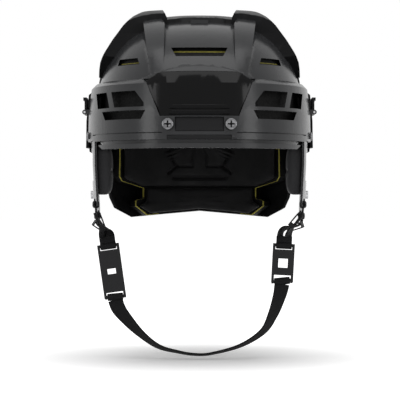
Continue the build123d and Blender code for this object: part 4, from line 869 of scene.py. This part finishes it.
# Webbing: a flat rounded profile carried along a line of points, with the way across given at each
strap = {
    "width": 0.015, "legWidth": 0.0112, "thickness": 0.0016, "clearance": 0.0003, "barRadius": 0.0016,
    "guardLoopWidth": 0.0118, "guardBarHeight": 0.0034, "loopSquareness": 3.5, "legHandle": 0.012,
    "jointThickness": 0.0040, "jointRise": 0.0045, "jointTop": 0.0008, "jointLength": 0.0068,
    "edgeCount": 28, "edgeSides": 12, "edgeFaces": 3.2,
}


def smoothLine(points, count):
    # A curve through the points: cubic runs whose slopes are those of each point's neighbours
    points = np.array(points, float)
    t = np.arange(len(points))
    slope = np.gradient(points, axis=0)
    where = np.linspace(0, len(points) - 1, count)
    k = np.clip(where.astype(int), 0, len(points) - 2)
    s = (where - k)[:, None]
    a, b, ma, mb = points[k], points[k + 1], slope[k], slope[k + 1]
    start = a * (2 * s**3 - 3 * s**2 + 1) + ma * (s**3 - 2 * s**2 + s)
    return start + b * (3 * s**2 - 2 * s**3) + mb * (s**3 - s**2)


def band(name, line, across, width, thickness, body, loop=False):
    # At each point the profile stands square to the travel; its two half sizes go with signed powers
    # of the cosine and the sine. UV is the way across and the way along, in metres
    line, across = np.array(line, float), np.array(across, float)
    if loop:
        travel = np.roll(line, -1, 0) - np.roll(line, 1, 0)
    else:
        travel = np.gradient(line, axis=0)
    travel /= np.linalg.norm(travel, axis=1, keepdims=True)
    across = across - travel * np.einsum("ij,ij->i", across, travel)[:, None]
    across /= np.linalg.norm(across, axis=1, keepdims=True)
    out = np.cross(travel, across)
    turn = np.linspace(0, 2 * np.pi, strap["edgeCount"], endpoint=False)
    px = width / 2 * signedPower(np.cos(turn), 2 / strap["edgeSides"])
    pz = thickness / 2 * signedPower(np.sin(turn), 2 / strap["edgeFaces"])
    rings = line[:, None] + across[:, None] * px[None, :, None] + out[:, None] * pz[None, :, None]
    run = np.concatenate([[0], np.cumsum(np.linalg.norm(np.diff(line, axis=0), axis=1))])
    uv = np.stack([np.repeat(px[None], len(line), 0), np.repeat(run[:, None], len(px), 1)], -1)
    piece = closedTube(name, rings, uv=uv, sharp=50, loop=loop)
    dress(piece, webbing)
    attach(piece, body)
    return piece


def guardSpot(side, y, z, inset):
    # A point on the ear guard's face, the way out of it and the way along it
    slope = float(guardFlank(y + 0.001, z) - guardFlank(y - 0.001, z)) / 0.002
    out = np.array([side, -slope, 0.0])
    out /= np.linalg.norm(out)
    along = np.array([-out[1], out[0], 0.0])
    return np.array([side * float(guardFlank(y, z)), y, z]) - out * inset, out, along


yokeSpec = {
    "left": {"bar": (-0.080, 0.002, -0.135), "length": 0.049, "lean": 8.0},
    "right": {"bar": (0.0785, 0.002, -0.120), "length": 0.034, "lean": -3.0},
}
lobes = {"Front": (-0.0305, -0.0488, -0.0009, 0.0036), "Rear": (0.0375, -0.060, 0.0009, -0.0036)}
legTurn = {"from": 0.4, "share": 0.42}
ringRadius = strap["barRadius"] + strap["clearance"] + strap["thickness"] / 2
halfBar = strap["guardBarHeight"] / 2
for side, label in ((-1, "Left"), (1, "Right")):
    spec = yokeSpec[label.lower()]
    lean = math.radians(spec["lean"])
    across, up = np.array([math.cos(lean), 0, math.sin(lean)]), np.array([-math.sin(lean), 0, math.cos(lean)])
    topBar = np.array(spec["bar"]) + up * spec["length"]
    joint = topBar + up * (ringRadius + strap["thickness"] / 2 + strap["jointRise"])
    for end, (lobeY, lobeZ, ply, apart) in lobes.items():
        aside = side * apart
        bar, out, along = guardSpot(side, lobeY, lobeZ + halfBar, guardForm["wall"] / 2)
        # the loop round the guard's bar: a rounded square path
        turn = np.linspace(0, 2 * np.pi, 48, endpoint=False)
        high = halfBar + strap["clearance"] + strap["thickness"] / 2
        deep = guardForm["wall"] / 2 + strap["clearance"] + strap["thickness"] / 2
        outward = deep * signedPower(np.cos(turn), 2 / strap["loopSquareness"])
        upward = high * signedPower(np.sin(turn), 2 / strap["loopSquareness"])
        loopLine = bar + out * outward[:, None] + np.array([0, 0, 1.0]) * upward[:, None]
        band("guardLoop" + end + label, loopLine, np.repeat(along[None], len(turn), 0),
             strap["guardLoopWidth"], strap["thickness"], "front_half", loop=True)
        start = bar - np.array([0, 0, high])
        finish = joint + np.array([0, ply, 0]) + across * aside
        below = np.array([0, 0, strap["legHandle"]])
        handles = [start, start - below, finish + up * strap["legHandle"], finish]
        t = np.linspace(0, 1, 60)[:, None]
        line = handles[0] * (1 - t) ** 3 + 3 * handles[1] * t * (1 - t) ** 2
        line = line + 3 * handles[2] * t**2 * (1 - t) + handles[3] * t**3
        turned = np.clip((t - legTurn["from"]) / (1 - legTurn["from"]), 0, 1)
        turned = legTurn["share"] * turned**2 * (3 - 2 * turned)
        ways = np.array([0, 1.0, 0]) * (1 - turned) + across * turned
        leg = band("strapLeg" + end + label, line, ways, strap["legWidth"], strap["thickness"], "front_half")
        if end == "Front":
            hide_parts("leg_straps_" + label.lower())
    # the stitched joint and the loop round the yoke's top bar
    t = np.linspace(0, 1, 12)[:, None]
    line = joint + up * (strap["jointTop"] - strap["jointLength"] * t)
    band("strapJoint" + label, line, np.repeat(across[None], len(t), 0), strap["width"],
         strap["jointThickness"], "front_half")
    turn = np.linspace(0, 2 * np.pi, 40, endpoint=False)
    forward, upward = ringRadius * np.cos(turn), ringRadius * np.sin(turn)
    loopLine = topBar + np.array([0, 1.0, 0]) * forward[:, None] + up * upward[:, None]
    band("yokeLoop" + label, loopLine, np.repeat(across[None], len(turn), 0), strap["width"],
         strap["thickness"], "front_half", loop=True)
print("legs of the strap made")

# Chin strap: hangs from both yokes and turns edge on under the chin
chin = {
    "across": (0.0, 0.0, 0.015, 0.05, 0.145, 0.256, 0.374, 0.478, 0.577, 0.75, 0.885, 0.945, 0.985, 1.0, 1.0),
    "drop": (0.0, 0.043, 0.16, 0.3, 0.584, 0.82, 0.934, 1.0, 1.01, 0.93, 0.745, 0.5, 0.22, 0.043, 0.0),
    "twist": (0.0, 0, 12, 30, 55, 70, 77, 79, 79, 74, 62, 46, 26, 0, 0),
    "depth": 0.062, "count": 220, "seam": 0.0008,
}
leftBar, rightBar = (np.array(yokeSpec[k]["bar"]) for k in ("left", "right"))
swing = (rightBar - leftBar) / np.linalg.norm(rightBar - leftBar)
centres = leftBar + (rightBar - leftBar) * np.array(chin["across"])[:, None]
centres = centres - np.array([0, 0, chin["depth"]]) * np.array(chin["drop"])[:, None]
line = smoothLine(centres[1:-1], chin["count"])
twist = np.radians(smoothLine(np.array(chin["twist"])[1:-1, None], chin["count"]))
travel = np.gradient(line, axis=0)
level = np.cross(np.array([0, 1.0, 0]), travel)
level /= np.linalg.norm(level, axis=1, keepdims=True)
ways = level * np.cos(twist) + np.array([0, 1.0, 0]) * np.sin(twist)
chinBand = band("chinStrap", line, ways, strap["width"] - chin["seam"], strap["thickness"], "chin_strap")
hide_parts("chin_strap")
for label, bar in (("Left", leftBar), ("Right", rightBar)):
    turn = np.linspace(0, 2 * np.pi, 40, endpoint=False)
    down = np.cross(swing, np.array([0, 1.0, 0]))
    forward, downward = ringRadius * np.cos(turn), ringRadius * np.sin(turn)
    loopLine = bar + np.array([0, 1.0, 0]) * forward[:, None] + down * downward[:, None]
    band("chinLoop" + label, loopLine, np.repeat(swing[None], len(turn), 0), strap["width"],
         strap["thickness"], "chin_strap", loop=True)
print("chin strap made")


# Studio: pale floor, white surround, soft lamps at a plain level
studio = {
    "floorZ": -0.1945, "floorSide": 9, "floorBack": 12, "floorColour": (0.9, 0.9, 0.9), "ambient": 0.32,
    "glowReach": (0.2, 0.36), "glow": (0.2, 1.0), "aim": (0, 0, 0.02),
    "lamps": {
        "topLamp": {"at": (0.0, -0.5, 1.5), "size": (1.6, 1.0), "power": 13.0},
        "leftLamp": {"at": (-1.5, -1.2, 0.5), "size": (0.6, 1.2), "power": 9.0},
        "rightLamp": {"at": (1.5, -1.2, 0.5), "size": (0.6, 1.2), "power": 9.0},
    },
}
wide, back, foot = studio["floorSide"], studio["floorBack"], studio["floorZ"]
floorCorners = np.array([(-wide, -wide, foot), (wide, -wide, foot), (wide, back, foot), (-wide, back, foot)])
floor = meshObject("floor", floorCorners, [(0, 1, 2, 3)])
floorMaterial, put, links, shader = newMaterial("floorPale", {
    "Roughness": 0.9, "Specular IOR Level": 0.0, "Base Color": (*studio["floorColour"], 1),
    "Emission Color": (1, 1, 1, 1)})
# The floor glows a little for the camera near the helmet, where its shadow shows, and is white further out
path = put("ShaderNodeLightPath")
seen = put("ShaderNodeMath", {
    0: path.outputs["Is Camera Ray"], 1: path.outputs["Is Glossy Ray"]}, operation="MAXIMUM")
place = put("ShaderNodeTexCoord")
away = put("ShaderNodeVectorMath", {0: place.outputs["Object"]}, operation="LENGTH")
near, far = studio["glowReach"]
low, high = studio["glow"]
level = put("ShaderNodeMapRange", {
    "Value": away.outputs["Value"], "From Min": near, "From Max": far, "To Min": low, "To Max": high})
glow = put("ShaderNodeMath", {0: seen.outputs[0], 1: level.outputs[0]}, operation="MULTIPLY")
links.new(glow.outputs[0], shader.inputs["Emission Strength"])
floor.data.materials.append(floorMaterial)
floor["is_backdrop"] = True

world = bpy.data.worlds.new("studio")
scene.world = world
world.use_nodes = True
world.node_tree.nodes.clear()
put, links = nodeTools(world.node_tree)
path = put("ShaderNodeLightPath")
seen = put("ShaderNodeMath", {
    0: path.outputs["Is Camera Ray"], 1: path.outputs["Is Glossy Ray"]}, operation="MAXIMUM")
seen = put("ShaderNodeMath", {
    0: seen.outputs[0], 1: path.outputs["Is Transmission Ray"]}, operation="MAXIMUM")
plain = put("ShaderNodeBackground", {"Color": (1, 1, 1, 1), "Strength": studio["ambient"]})
white = put("ShaderNodeBackground", {"Color": (1, 1, 1, 1), "Strength": 1.0})
mixed = put("ShaderNodeMixShader", {0: seen.outputs[0], 1: plain.outputs[0], 2: white.outputs[0]})
output = put("ShaderNodeOutputWorld")
links.new(mixed.outputs[0], output.inputs[0])

for name, spec in studio["lamps"].items():
    lamp = bpy.data.lights.new(name, "AREA")
    lamp.shape = "RECTANGLE"
    lamp.size, lamp.size_y = spec["size"]
    lamp.energy = spec["power"]
    holder = bpy.data.objects.new(name, lamp)
    scene.collection.objects.link(holder)
    holder.location = spec["at"]
    aim = np.array(studio["aim"]) - np.array(spec["at"])
    holder.rotation_euler = Vector(aim).to_track_quat("-Z", "Y").to_euler()
print("studio made")

low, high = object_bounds()
